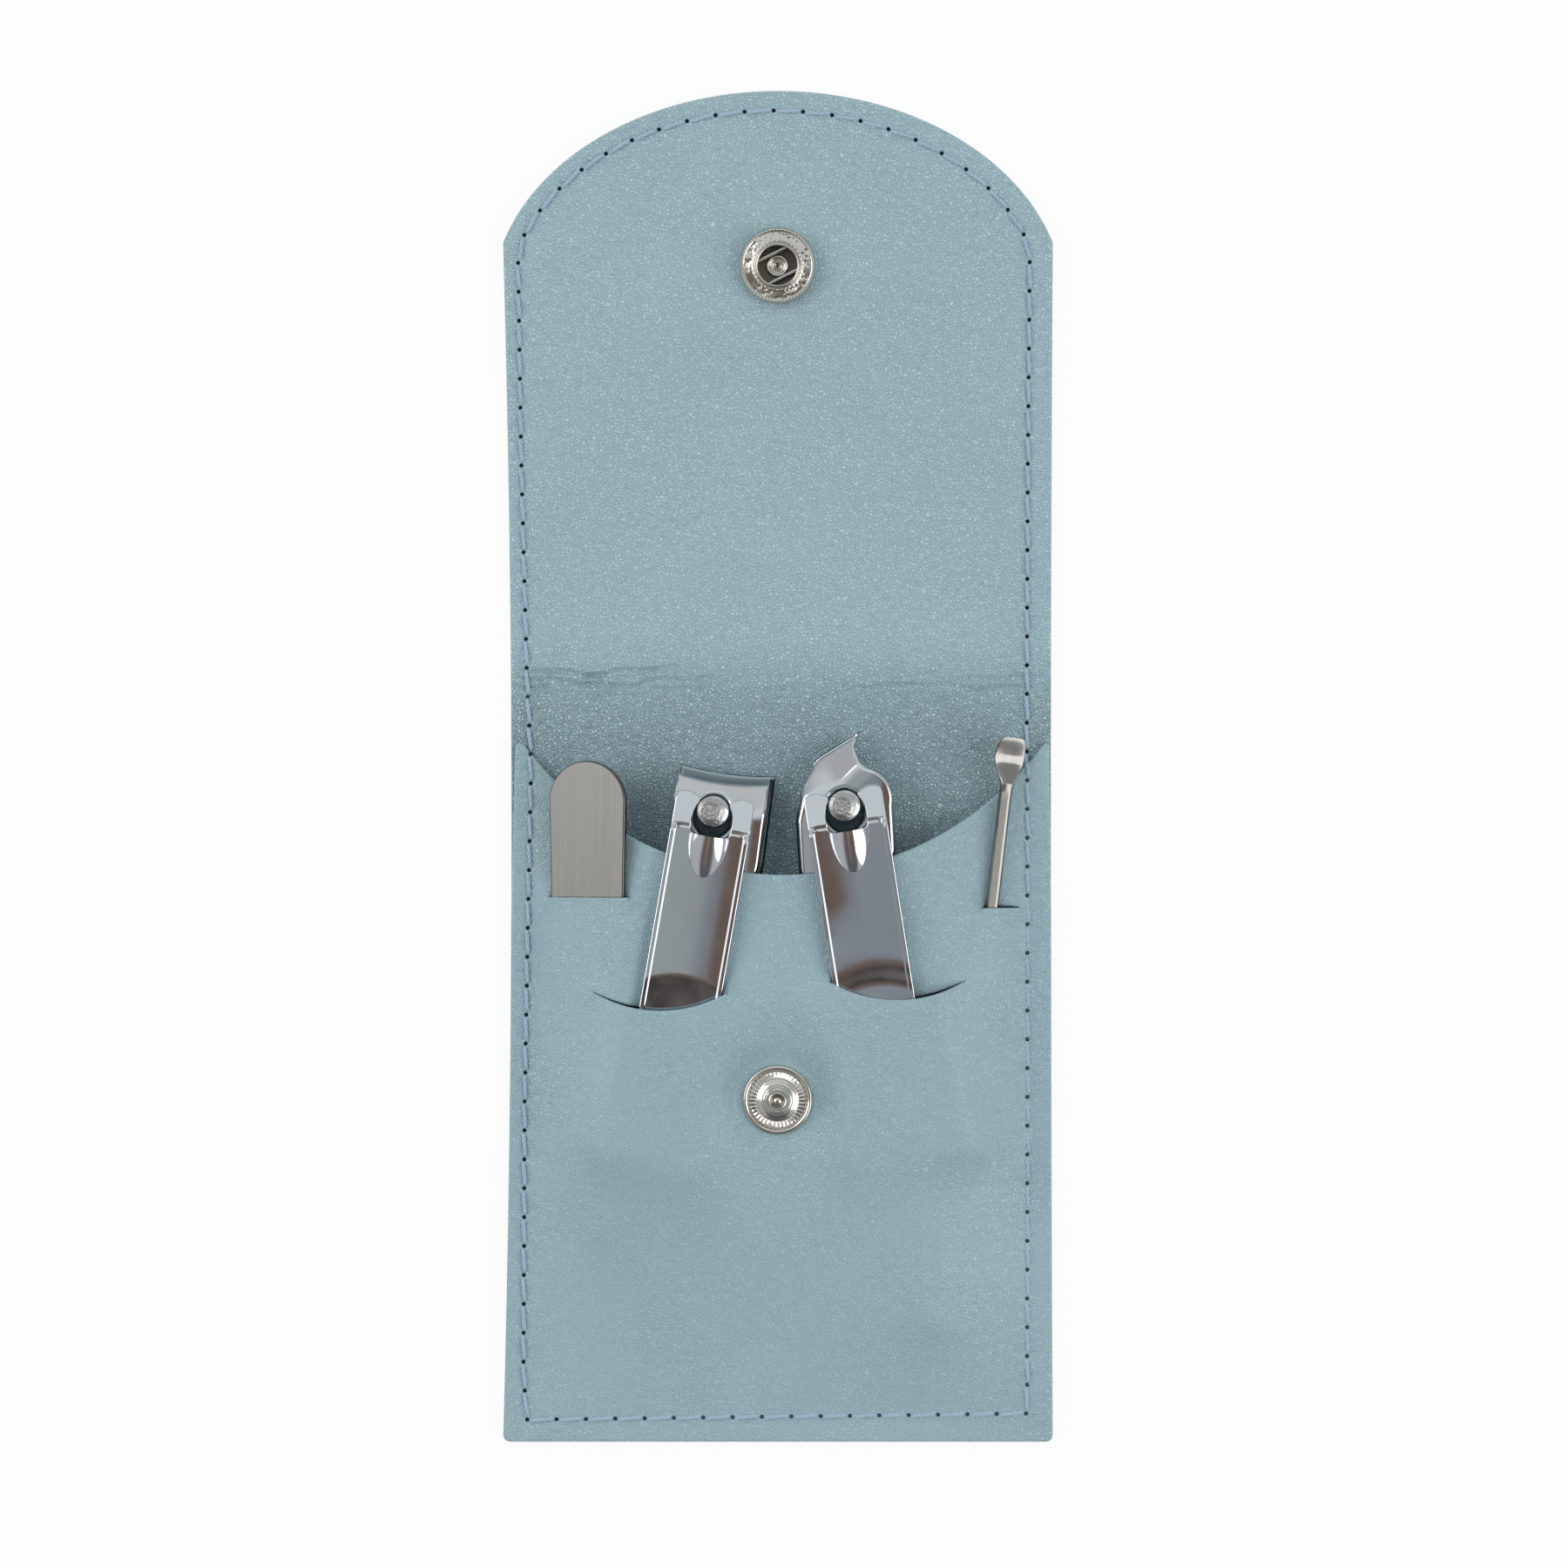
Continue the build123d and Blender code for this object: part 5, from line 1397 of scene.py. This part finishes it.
def build_leaves(name, clipper):
    """Both leaves of a clipper, stamped and bent from 1.1 mm sheet steel."""
    chrome = chrome_plate()
    matrix = body_matrix(clipper)
    tail_low = LEAF + TAIL_GAP
    straight = name == "straight"
    if straight:
        low_edge, up_edge = 5.6, 4.4
        low_loop = straight_leaf_outline(-5.1, 7.5, low_edge, 0.5)
        up_loop = straight_leaf_outline(-5.42, 6.84, up_edge, 0.55)
        low_place, up_place = square_to_hollow(0.5, 1.2, 6.3), square_to_hollow(0.55, 0.71, 6.13)
    else:
        low_edge, up_edge = SLANT_EDGE + 0.3, SLANT_EDGE
        low_loop, up_loop = slant_leaf_outline(0.35, 6.5), slant_leaf_outline(0.0, 6.3)
        low_place = up_place = square_to_slant
    back = up_edge - 3.3
    up_top = side_curve([(-60, LEAF), (back - 3.01, LEAF)],
                        ((back - 3.0, LEAF), (back - 1.5, LEAF - 0.05), (back - 0.2, LEAF - 0.2)),
                        [(back + 0.1, LEAF - 0.36), (up_edge, -LEAF - 0.38)])
    up_under = side_curve([(-60, 0), (back - 0.21, 0)],
                          ((back - 0.2, 0), (up_edge - 1.7, -0.45), (up_edge - 0.2, -LEAF - 0.45)),
                          [(up_edge, -LEAF - 0.42)])
    back = low_edge - 4.1
    low_top = side_curve([(-60, LEAF), (back - 0.21, LEAF)],
                         ((back - 0.2, LEAF), (low_edge - 1.7, LEAF + 0.13), (low_edge - 0.2, LEAF + 0.52)),
                         [(low_edge, LEAF + 0.46)])
    low_under = side_curve([(-60, 0), (back - 0.01, 0)],
                           ((back, 0), (low_edge - 1.4, 0.38), (low_edge, LEAF + 0.42)))

    def plane(y):
        return tail_low + LEAF_SLOPE * 0.8 * np.logaddexp(0, (y + MEET) / 0.8)

    def height(place, curve, lifted):
        def at(x, y):
            # the long edges are rolled down a little as the blank is stamped
            rolled = 0.12 * np.clip((np.abs(x) - 4.4) / 2.4, 0, 1.3) ** 2 * np.clip((5.0 - y) / 4, 0, 1)
            z = np.interp(place(x, y), *curve.T) - rolled * (curve[0, 1] > 0)
            return z + plane(y) if lifted else z
        return at

    fine_x, fine_y = np.meshgrid(np.arange(-8, 8.5, 0.3), np.arange(-0.5, 10.2, 0.16))
    fine = np.column_stack([fine_x.ravel(), fine_y.ravel()])
    rivet = (0, -(TAIL - RIVET_TO_TAIL))
    up_holes = [circle(2.65) * (0.95, 1.07) - (0, 0.6), circle(1.5, rivet)]
    low_holes = [circle(1.56), circle(1.4, rivet)]
    upper = plate(
        f"{name}_upper_leaf_plate", [up_loop, *up_holes], 0.7, 0.5,
        height(up_place, up_top, True), height(up_place, up_under, True), chrome, matrix, fine,
    )
    lower = plate(
        f"{name}_lower_leaf_plate", [low_loop, *low_holes], 0.7, 0.5,
        height(low_place, low_top, False), height(low_place, low_under, False), chrome, matrix, fine,
    )
    settle(upper, f"{name}_upper", f"{name}_upper_leaf")
    settle(lower, f"{name}_clipper", f"{name}_lower_leaf")
    # Painted reflection: the straight lower jaw's ground face, and the upper leaf's underside, are tinted
    # blue-grey like the leather.
    if straight:
        second_finish(
            lower, dull_steel("ground_jaw_painted_reflection"), matrix,
            lambda c, n: n[2] > 0.02 and low_place(*c[:2]) > up_edge - 1.4 and abs(c[0] - 1.2) < 6.1,
        )
    # Painted shade: the lower leaf round the pin, seen through the fork's eye, and one long edge are painted
    # near-black.
    side, reach = (1, 6.85) if straight else (-1, 6.1)
    second_finish(
        lower, dull_steel("painted_shade_steel"), matrix,
        lambda c, n: n[2] > 0.5 and math.hypot(*c[:2]) < 3.6
        or c[0] * side > reach - 0.06 * max(0.0, -6 - c[1]) and n[2] > 0.25 and c[1] < 5.2,
    )
    second_finish(upper, dull_steel("ground_jaw_painted_reflection"), matrix, lambda c, n: n[2] < -0.5)


LEVER_OUTLINE = [
    (-LEVER_HALF, -LEVER_LENGTH), (LEVER_HALF, -LEVER_LENGTH), (LEVER_HALF, 1.2), (5.0, 1.95), (3.4, 2.2),
    (1.95, 1.5), (1.95, 0.95), (2.3, 0.4), (2.55, -0.3), (2.65, -1.2), (2.65, -3.2),
    (-2.65, -3.2), (-2.65, -1.2), (-2.55, -0.3), (-2.3, 0.4), (-1.95, 0.95), (-1.95, 1.5),
    (-3.4, 2.2), (-5.0, 1.95), (-LEVER_HALF, 1.2),
]


def dome_shell():
    """The fulcrum dome, a thumbnail in plan, as a closed shell let into the lever's floor."""
    rows, columns = 40, 33
    points, faces = [], []
    phi = np.linspace(0, math.pi, columns)
    for u in np.linspace(1, 0.0005, rows) ** 1.7:
        half, high = 2.62 * math.sqrt(1 - (1 - u) ** 2), 1.4 * u**0.62
        x = half * np.cos(phi)
        z = LEVER_N + LEVER_FLOOR + high * np.sin(phi) ** 1.7
        z[[0, -1]] -= 0.35
        points.extend(zip(x, np.full(columns, -8.75 + 5.55 * u), z))
    for i in range(rows - 1):
        for j in range(columns - 1):
            k = i * columns + j
            faces.append((k, k + 1, k + columns + 1, k + columns))
        k = i * columns
        faces.append((k + columns - 1, k, k + columns, k + 2 * columns - 1))
    faces.append(tuple(reversed(range(columns))))
    faces.append(tuple(range((rows - 1) * columns, rows * columns)))
    return points, faces


def fork_droop(y):
    """How far the fork, bent down by 14 degrees, has dropped."""
    return math.tan(math.radians(14)) * 0.12 * np.logaddexp(0, (y + 1.9) / 0.12)


def lever_top(x, y, crown):
    """The lever's upper face: its slightly warped floor, the turned-up rims and the drooping fork."""
    floor = LEVER_N + LEVER_FLOOR + crown(x, y)
    rim = eased(np.clip((np.abs(x) - 4.46) / 0.2, 0, 1)) * np.clip((-2.3 - y) / 0.7, 0, 1)
    swage = 0.12 * np.exp(-(((y + 2.35) / 0.22) ** 2)) * np.clip((4.4 - np.abs(x)) / 0.6, 0, 1)
    return floor - fork_droop(y) + (LEVER_RIM + 0.05) * rim - swage * 0.5


WARPS = {
    # how much a lever's floor bulges across, hollows behind the dome, and dips, where it dips, mm, and
    # whether it rises again behind the dip
    "straight": (0.12, 0.0, 0.232, -21.6, False), "slant": (0.0, 0.12, 0.17, -24.4, True),
}


def build_lever(name, clipper):
    """The lever: a stamped tray with a fork at its front that straddles the pin."""
    bulge, hollow, dip, dip_y, rises = WARPS[name]

    def crown(x, y):
        near = np.clip((y + 17) / 5, 0, 1) * np.clip((-x) / 4.4, 0, 1) ** 1.5
        ahead = y - dip_y + 0.05 * x * x
        swell = np.exp(-((ahead / 2.8) ** 2)) if rises else np.clip(-ahead / 5.6, 0, 1)
        return 0.05 + hollow * near - bulge * (x / 4.4) ** 2 * np.clip((x + 1) / 3, 0.2, 1) - dip * swell

    fine = []
    for x in (4.2, 4.36, 4.45, 4.5, 4.56, 4.62, 4.67, 4.74, 4.9):
        for y in np.arange(-46.4, -1.5, 0.4):
            fine += [(x, y), (-x, y)]
    for y in (-2.9, -2.75, -2.6, -2.45, -2.3, -2.15, -2.0, -1.88, -1.76, -1.64, -1.5):
        for x in np.arange(2.85, 5.1, 0.22):
            fine += [(x, y), (-x, y)]

    def under(x, y):
        return LEVER_N - fork_droop(y)

    loop = softened(softened(LEVER_OUTLINE, 1.1, 20), 0.1, 60)
    # the tail's corners are rounder than the rest
    tail = softened([*LEVER_OUTLINE[:2], (LEVER_HALF, -20), (-LEVER_HALF, -20)], 2.4)
    keep = tail[tail[:, 1] < -40]
    loop = np.vstack([keep[np.argsort(keep[:, 0])], loop[loop[:, 1] > -40]])
    lever = plate(
        f"{name}_lever_tray", [loop], 0.5, 0.13, lambda x, y: lever_top(x, y, crown), under, chrome_plate(),
        lever_matrix(clipper), np.array(fine), 42, more=dome_shell(),
    )
    settle(lever, f"{name}_lever_and_pin", f"{name}_lever")


def build_pin(name, clipper):
    """The pin: a foot under the lower leaf, a shank, and a head with a rough cast face."""
    deck = DECK_Z + (clipper["pin"][1] - DECK_Y) * DECK_SLOPE
    head = deck + (LEVER_N + LEVER_FLOOR) * math.cos(DECK_PITCH) + 0.15 - SHEET - TOOL_SEAT

    def cast(radius, height, angle):
        if height < head + 1.0 or radius > 1.15:
            return np.zeros(len(angle))
        lumps = np.sin(angle * 3 + radius * 13) * np.sin(angle * 7 - radius * 9 + 1)
        return 0.03 * lumps * min(1, radius * 2)

    def pushed(height):
        """The peened face lies a little off the head's middle."""
        return -0.4 * min(1.0, max(0.0, (height - head - 0.7) / 0.4))

    pin = turned(
        f"{name}_pin_turned",
        bent([(0, 0.02), (2.7, 0.02), (2.7, 0.5), (1.5, 0.5), (1.5, head), (1.9, head),
              (2.02, head + 0.16), (2.02, head + 0.72), (1.88, head + 0.92), (1.34, head + 1.12),
              (1.24, head + 1.2), (1.0, head + 1.19), (0.8, head + 1.15), (0.55, head + 1.19),
              (0.3, head + 1.16), (0, head + 1.18)], 0.07, 2),
        chrome_plate(), body_matrix(clipper), 64, cast, shift=pushed,
    )
    second_finish(
        pin, dull_steel("peened_steel"), body_matrix(clipper),
        lambda centre, normal: centre[2] > head + 0.96,
    )
    settle(pin, f"{name}_lever_and_pin", f"{name}_pin")


class ManicureBuildClippers(bpy.types.Operator):
    """Build the straight and the slant nail clipper: leaves, lever, pin and rivet"""

    bl_idname = "manicure.build_clippers"
    bl_label = "Nail Clippers"

    def execute(self, context):
        for name, clipper in (("straight", STRAIGHT), ("slant", SLANT)):
            build_leaves(name, clipper)
            build_lever(name, clipper)
            build_pin(name, clipper)
            refinish(f"{name}_rivet", chrome_plate())
        return {"FINISHED"}


# ---------------------------------------------------------------- nail file and ear pick
class ManicureBuildFile(bpy.types.Operator):
    """Build the flat nail file"""

    bl_idname = "manicure.build_file"
    bl_label = "Nail File"

    def execute(self, context):
        spacing = context.scene.manicure_metal.brush
        # The file's steel is left at 0.53 of the pick's brightness: painted shade.
        steel = brushed("brushed_stainless_file", 0, spacing, 14 * MM, 0.53)
        top = arc_through((FILE_HALF, -4.92), (0, 0), (-FILE_HALF, -4.92), 40)
        slit = FILE_TOP[1] - FILE_SLIT_Y
        tail = arc_through((-2.2, -59.8), (0, -62), (2.2, -59.8), 16)
        loop = np.vstack([top, [(-5.1, -slit)], tail, [(5.1, -slit)]])
        blade = plate(
            "nail_file_blade", [loop], 0.9, 0.2, lambda x, y: FILE_THICK + 0 * x, lambda x, y: 0 * x, steel,
            FILE_FRAME,
        )
        settle(blade, "nail_file_body", "nail_file")
        return {"FINISHED"}


class ManicureBuildPick(bpy.types.Operator):
    """Build the ear pick: a small cupped spoon drawn out of a faceted bar"""

    bl_idname = "manicure.build_pick"
    bl_label = "Ear Pick"

    def execute(self, context):
        spacing = context.scene.manicure_metal.brush
        steel = brushed("brushed_stainless_pick", -PICK_LEAN, spacing, 9 * MM, 1.0)
        # stations: distance from the spoon's tip, half width, middle height, half thickness
        stations = [
            (0.0, 1.1, 1.26, 0.08), (0.06, 1.35, 1.24, 0.11), (0.2, 1.6, 1.19, 0.14), (0.5, 1.83, 1.10, 0.16),
            (1.0, 1.98, 0.94, 0.18), (1.5, 2.06, 0.79, 0.19), (2.0, 2.1, 0.66, 0.20), (2.4, 2.12, 0.57, 0.20),
            (2.8, 2.12, 0.51, 0.21), (3.2, 2.1, 0.47, 0.22), (3.5, 2.05, 0.46, 0.24), (4.0, 1.88, 0.48, 0.29),
            (4.5, 1.66, 0.55, 0.34), (5.0, 1.4, 0.66, 0.40), (5.5, 1.16, 0.78, 0.47), (6.0, 0.98, 0.88, 0.55),
            (6.4, 0.9, 0.88, 0.60), (7.0, 0.85, 0.79, 0.66), (8.0, 0.84, 0.69, 0.69), (20, 0.86, 0.70, 0.70),
            (60, 0.9, 0.70, 0.70), (77.4, 0.9, 0.70, 0.70), (78.0, 0.7, 0.70, 0.45),
        ]
        dense = np.concatenate([[0, 0.06, 0.12, 0.2, 0.3], np.arange(0.4, 9, 0.14), np.arange(9, 77.4, 2.0),
                                [77.4, 77.8, 78.0]])
        columns = np.array(stations).T
        # the bar's section, as shares of its half width and half thickness: a ridge right of the middle
        bar = resampled([(1.0, -0.3), (1.0, 0.2), (0.52, 0.84), (0.27, 0.9), (-0.85, 0.7), (-1.0, 0.2),
                         (-1.0, -0.4), (-0.7, -1.0), (0.7, -1.0)], 0.12)
        n = len(bar)
        t = np.arctan2(bar[:, 1], bar[:, 0])
        c, s = np.cos(t), np.sin(t)
        points = []
        for d in dense:
            w, mid, thick = (np.interp(d, columns[0], column) for column in columns[1:])
            drawn = min(1.0, max(0.0, (d - 5.0) / 2.4))
            x = w * ((1 - drawn) * np.sign(c) * np.abs(c) ** 0.83 + drawn * bar[:, 0])
            z = thick * ((1 - drawn) * np.sign(s) * np.abs(s) ** 0.83 + drawn * bar[:, 1])
            cup = np.exp(-(((d - 2.8) / 1.5) ** 2)) * 0.2 * np.clip(1 - (x / w) ** 2, 0, 1)
            points.extend(zip(x, np.full(n, -d), mid + z - cup))
        faces = skin(len(dense), n)
        pick = object_from("ear_pick_spoon", placed(points, PICK_FRAME), faces, steel, 25)
        settle(pick, "ear_pick_body", "ear_pick")
        return {"FINISHED"}


# ---------------------------------------------------------------- floor, lamps, camera
BACK_WALL, SIDE_WALL, FRONT_WALL = (0.78, 0.83, 0.85, 1), (0.55, 0.56, 0.57, 1), (0.14, 0.14, 0.145, 1)
SKIRTING = (0.66, 0.67, 0.66, 1)
CEILING_GREY, CEILING_BLUE = (0.42, 0.46, 0.45, 1), (0.3, 0.33, 0.37, 1)
CEILING_BROWN = (0.19, 0.135, 0.11, 1)
CAMERA_DARK, FRONT_WARM = (0.05, 0.048, 0.046, 1), (0.26, 0.235, 0.225, 1)
FLOOR_HALF, FLOOR_Z = 1500, -0.15
PAPER_WHITE = 0.9  # how much of the paper, seen directly, is burnt out to white
SOFTBOX = (0.7, 0.8)  # metres
SENSOR, SEEN_WIDTH, SEEN_Z = 36, 206.9, 3  # the camera sees this width at this height
CAMERA_X, CAMERA_Y = 0.8, -2.3
# The parts of the room, each laid over the ones before it. Behind its colour stand the direction's
# axis and the values at which it begins and is full; where there are two axes, both have to hold.
ROOM = (
    (CEILING_BLUE, ("x", -0.03, 0.02)),
    (BACK_WALL, ("y", 0.0, 0.1)),
    (SKIRTING, ("y", 0.75, 0.97)),
    (CEILING_BROWN, ("y", -0.16, -0.19)),
    (CAMERA_DARK, ("y", -0.2, -0.215)),
    (FRONT_WARM, ("y", -0.22, -0.25)),
    (CEILING_BROWN, ("x", 0.04, 0.07), ("y", 0.03, -0.02)),
    (CEILING_BROWN, ("x", -0.13, -0.16), ("y", 0.03, -0.02)),
    (FRONT_WALL, ("y", -0.35, -0.7)),
    (SIDE_WALL, ("aside", 0.3, 0.55)),
)


def lamp(name, at, target, size, power):
    """A soft lamp, its face turned to a target: places and size in metres."""
    data = bpy.data.lights.new(name, "AREA")
    data.shape = "RECTANGLE"
    data.size, data.size_y = size
    data.energy = power
    made = bpy.data.objects.new(name, data)
    made.location = at
    bpy.context.scene.collection.objects.link(made)
    made.rotation_euler = (Vector(target) - made.location).to_track_quat("-Z", "Y").to_euler()


def seen_directly(tree):
    """1 for what the camera sees, straight or by a mirror or through glass."""
    path = node(tree, "ShaderNodeLightPath")
    mirrored = node(
        tree, "ShaderNodeMath", {0: path.outputs["Is Camera Ray"], 1: path.outputs["Is Glossy Ray"]},
        operation="MAXIMUM",
    )
    return node(
        tree, "ShaderNodeMath", {0: mirrored.outputs[0], 1: path.outputs["Is Transmission Ray"]},
        operation="MAXIMUM",
    ).outputs[0]


def studio_world(strength):
    """A studio room: pale walls, darker in front and behind, a grey ceiling with a brown corner."""
    world = bpy.data.worlds.new("studio_room")
    world.use_nodes = True
    tree = world.node_tree
    tree.nodes.clear()
    towards = node(tree, "ShaderNodeTexCoord").outputs["Generated"]
    axes = node(tree, "ShaderNodeSeparateXYZ", {0: towards})
    aside = node(tree, "ShaderNodeMath", {0: axes.outputs["X"]}, operation="ABSOLUTE")
    values = {"x": axes.outputs["X"], "y": axes.outputs["Y"], "aside": aside.outputs[0]}
    room = CEILING_GREY
    for colour, *limits in ROOM:
        share = None
        for axis, start, end in limits:
            ramp = node(
                tree, "ShaderNodeMapRange", {"Value": values[axis], "From Min": start, "From Max": end},
                interpolation_type="SMOOTHSTEP",
            )
            if share is None:
                share = ramp.outputs[0]
            else:
                both = node(tree, "ShaderNodeMath", {0: share, 1: ramp.outputs[0]}, operation="MULTIPLY")
                share = both.outputs[0]
        laid = node(tree, "ShaderNodeMix", {"Factor": share, 6: room, 7: colour}, data_type="RGBA")
        room = laid.outputs[2]
    light = node(tree, "ShaderNodeBackground", {"Color": room, "Strength": strength})
    node(tree, "ShaderNodeOutputWorld", {"Surface": light.outputs[0]})
    return world


class ManicureBuildStage(bpy.types.Operator):
    """Build the pale floor, the soft lamps, the room's light and the camera"""

    bl_idname = "manicure.build_stage"
    bl_label = "Stage"

    def execute(self, context):
        s = context.scene.manicure_stage
        scene = context.scene
        paper, tree, surface, _ = new_material("matt_white_paper")
        surface.inputs["Base Color"].default_value = rgba(s.floor)
        surface.inputs["Roughness"].default_value = 0.9
        surface.inputs["Specular IOR Level"].default_value = 0.1
        glow = node(tree, "ShaderNodeEmission", {"Color": (1, 1, 1, 1), "Strength": 1.0})
        share = node(tree, "ShaderNodeMath", {0: seen_directly(tree), 1: PAPER_WHITE}, operation="MULTIPLY")
        mixed = node(
            tree, "ShaderNodeMixShader", {0: share.outputs[0], 1: surface.outputs[0], 2: glow.outputs[0]}
        )
        out = next(n for n in tree.nodes if n.type == "OUTPUT_MATERIAL")
        tree.links.new(mixed.outputs[0], out.inputs["Surface"])
        corners = [(x * FLOOR_HALF, y * FLOOR_HALF, FLOOR_Z) for x, y in ((-1, -1), (1, -1), (1, 1), (-1, 1))]
        floor = object_from("paper_floor", corners, [(0, 1, 2, 3)], paper)
        lamp("left_softbox", (-0.76, 0.2, 0.66), (0, 0.03, 0), SOFTBOX, s.lamp_power)
        lamp("right_softbox", (0.76, -0.25, 0.66), (0, -0.03, 0), SOFTBOX, s.lamp_power)
        scene.world = studio_world(s.sky)
        data = bpy.data.cameras.new("camera")
        data.sensor_width = SENSOR
        data.lens = SENSOR * (s.camera_height / MM - SEEN_Z) / SEEN_WIDTH
        data.clip_end = 10
        camera = bpy.data.objects.new("camera", data)
        camera.location = (CAMERA_X * MM, CAMERA_Y * MM, s.camera_height)
        scene.collection.objects.link(camera)
        scene.camera = camera
        scene.view_settings.view_transform = "Standard"
        return {"FINISHED"}


# ---------------------------------------------------------------- the panel in the sidebar
STEPS = (
    ManicureBuildCase, ManicureBuildPanel, ManicureBuildStitching, ManicureBuildSnap,
    ManicureBuildClippers, ManicureBuildFile, ManicureBuildPick, ManicureBuildStage,
)
GROUPS = {
    "manicure_leather": ManicureLeather, "manicure_stitching": ManicureStitching,
    "manicure_metal": ManicureMetal, "manicure_stage": ManicureStage,
}


class ManicurePanel(bpy.types.Panel):
    """Lists the settings and the steps that build the manicure case"""

    bl_idname = "VIEW3D_PT_manicure"
    bl_label = "Manicure Case"
    bl_space_type = "VIEW_3D"
    bl_region_type = "UI"
    bl_category = "Manicure"

    def draw(self, context):
        for name, group in GROUPS.items():
            box = self.layout.box()
            box.label(text=group.__doc__)
            for key in group.__annotations__:
                box.prop(getattr(context.scene, name), key)
        for step in STEPS:
            self.layout.operator(step.bl_idname)


def register():
    for kind in (*GROUPS.values(), *STEPS, ManicurePanel):
        bpy.utils.register_class(kind)
    for name, group in GROUPS.items():
        setattr(bpy.types.Scene, name, bpy.props.PointerProperty(type=group))


def unregister():
    for name in GROUPS:
        delattr(bpy.types.Scene, name)
    for kind in (ManicurePanel, *reversed(STEPS), *reversed(GROUPS.values())):
        bpy.utils.unregister_class(kind)


def main():
    register()
    for step in STEPS:
        group, name = step.bl_idname.split(".")
        getattr(getattr(bpy.ops, group), name)()


if __name__ == "__main__":
    main()
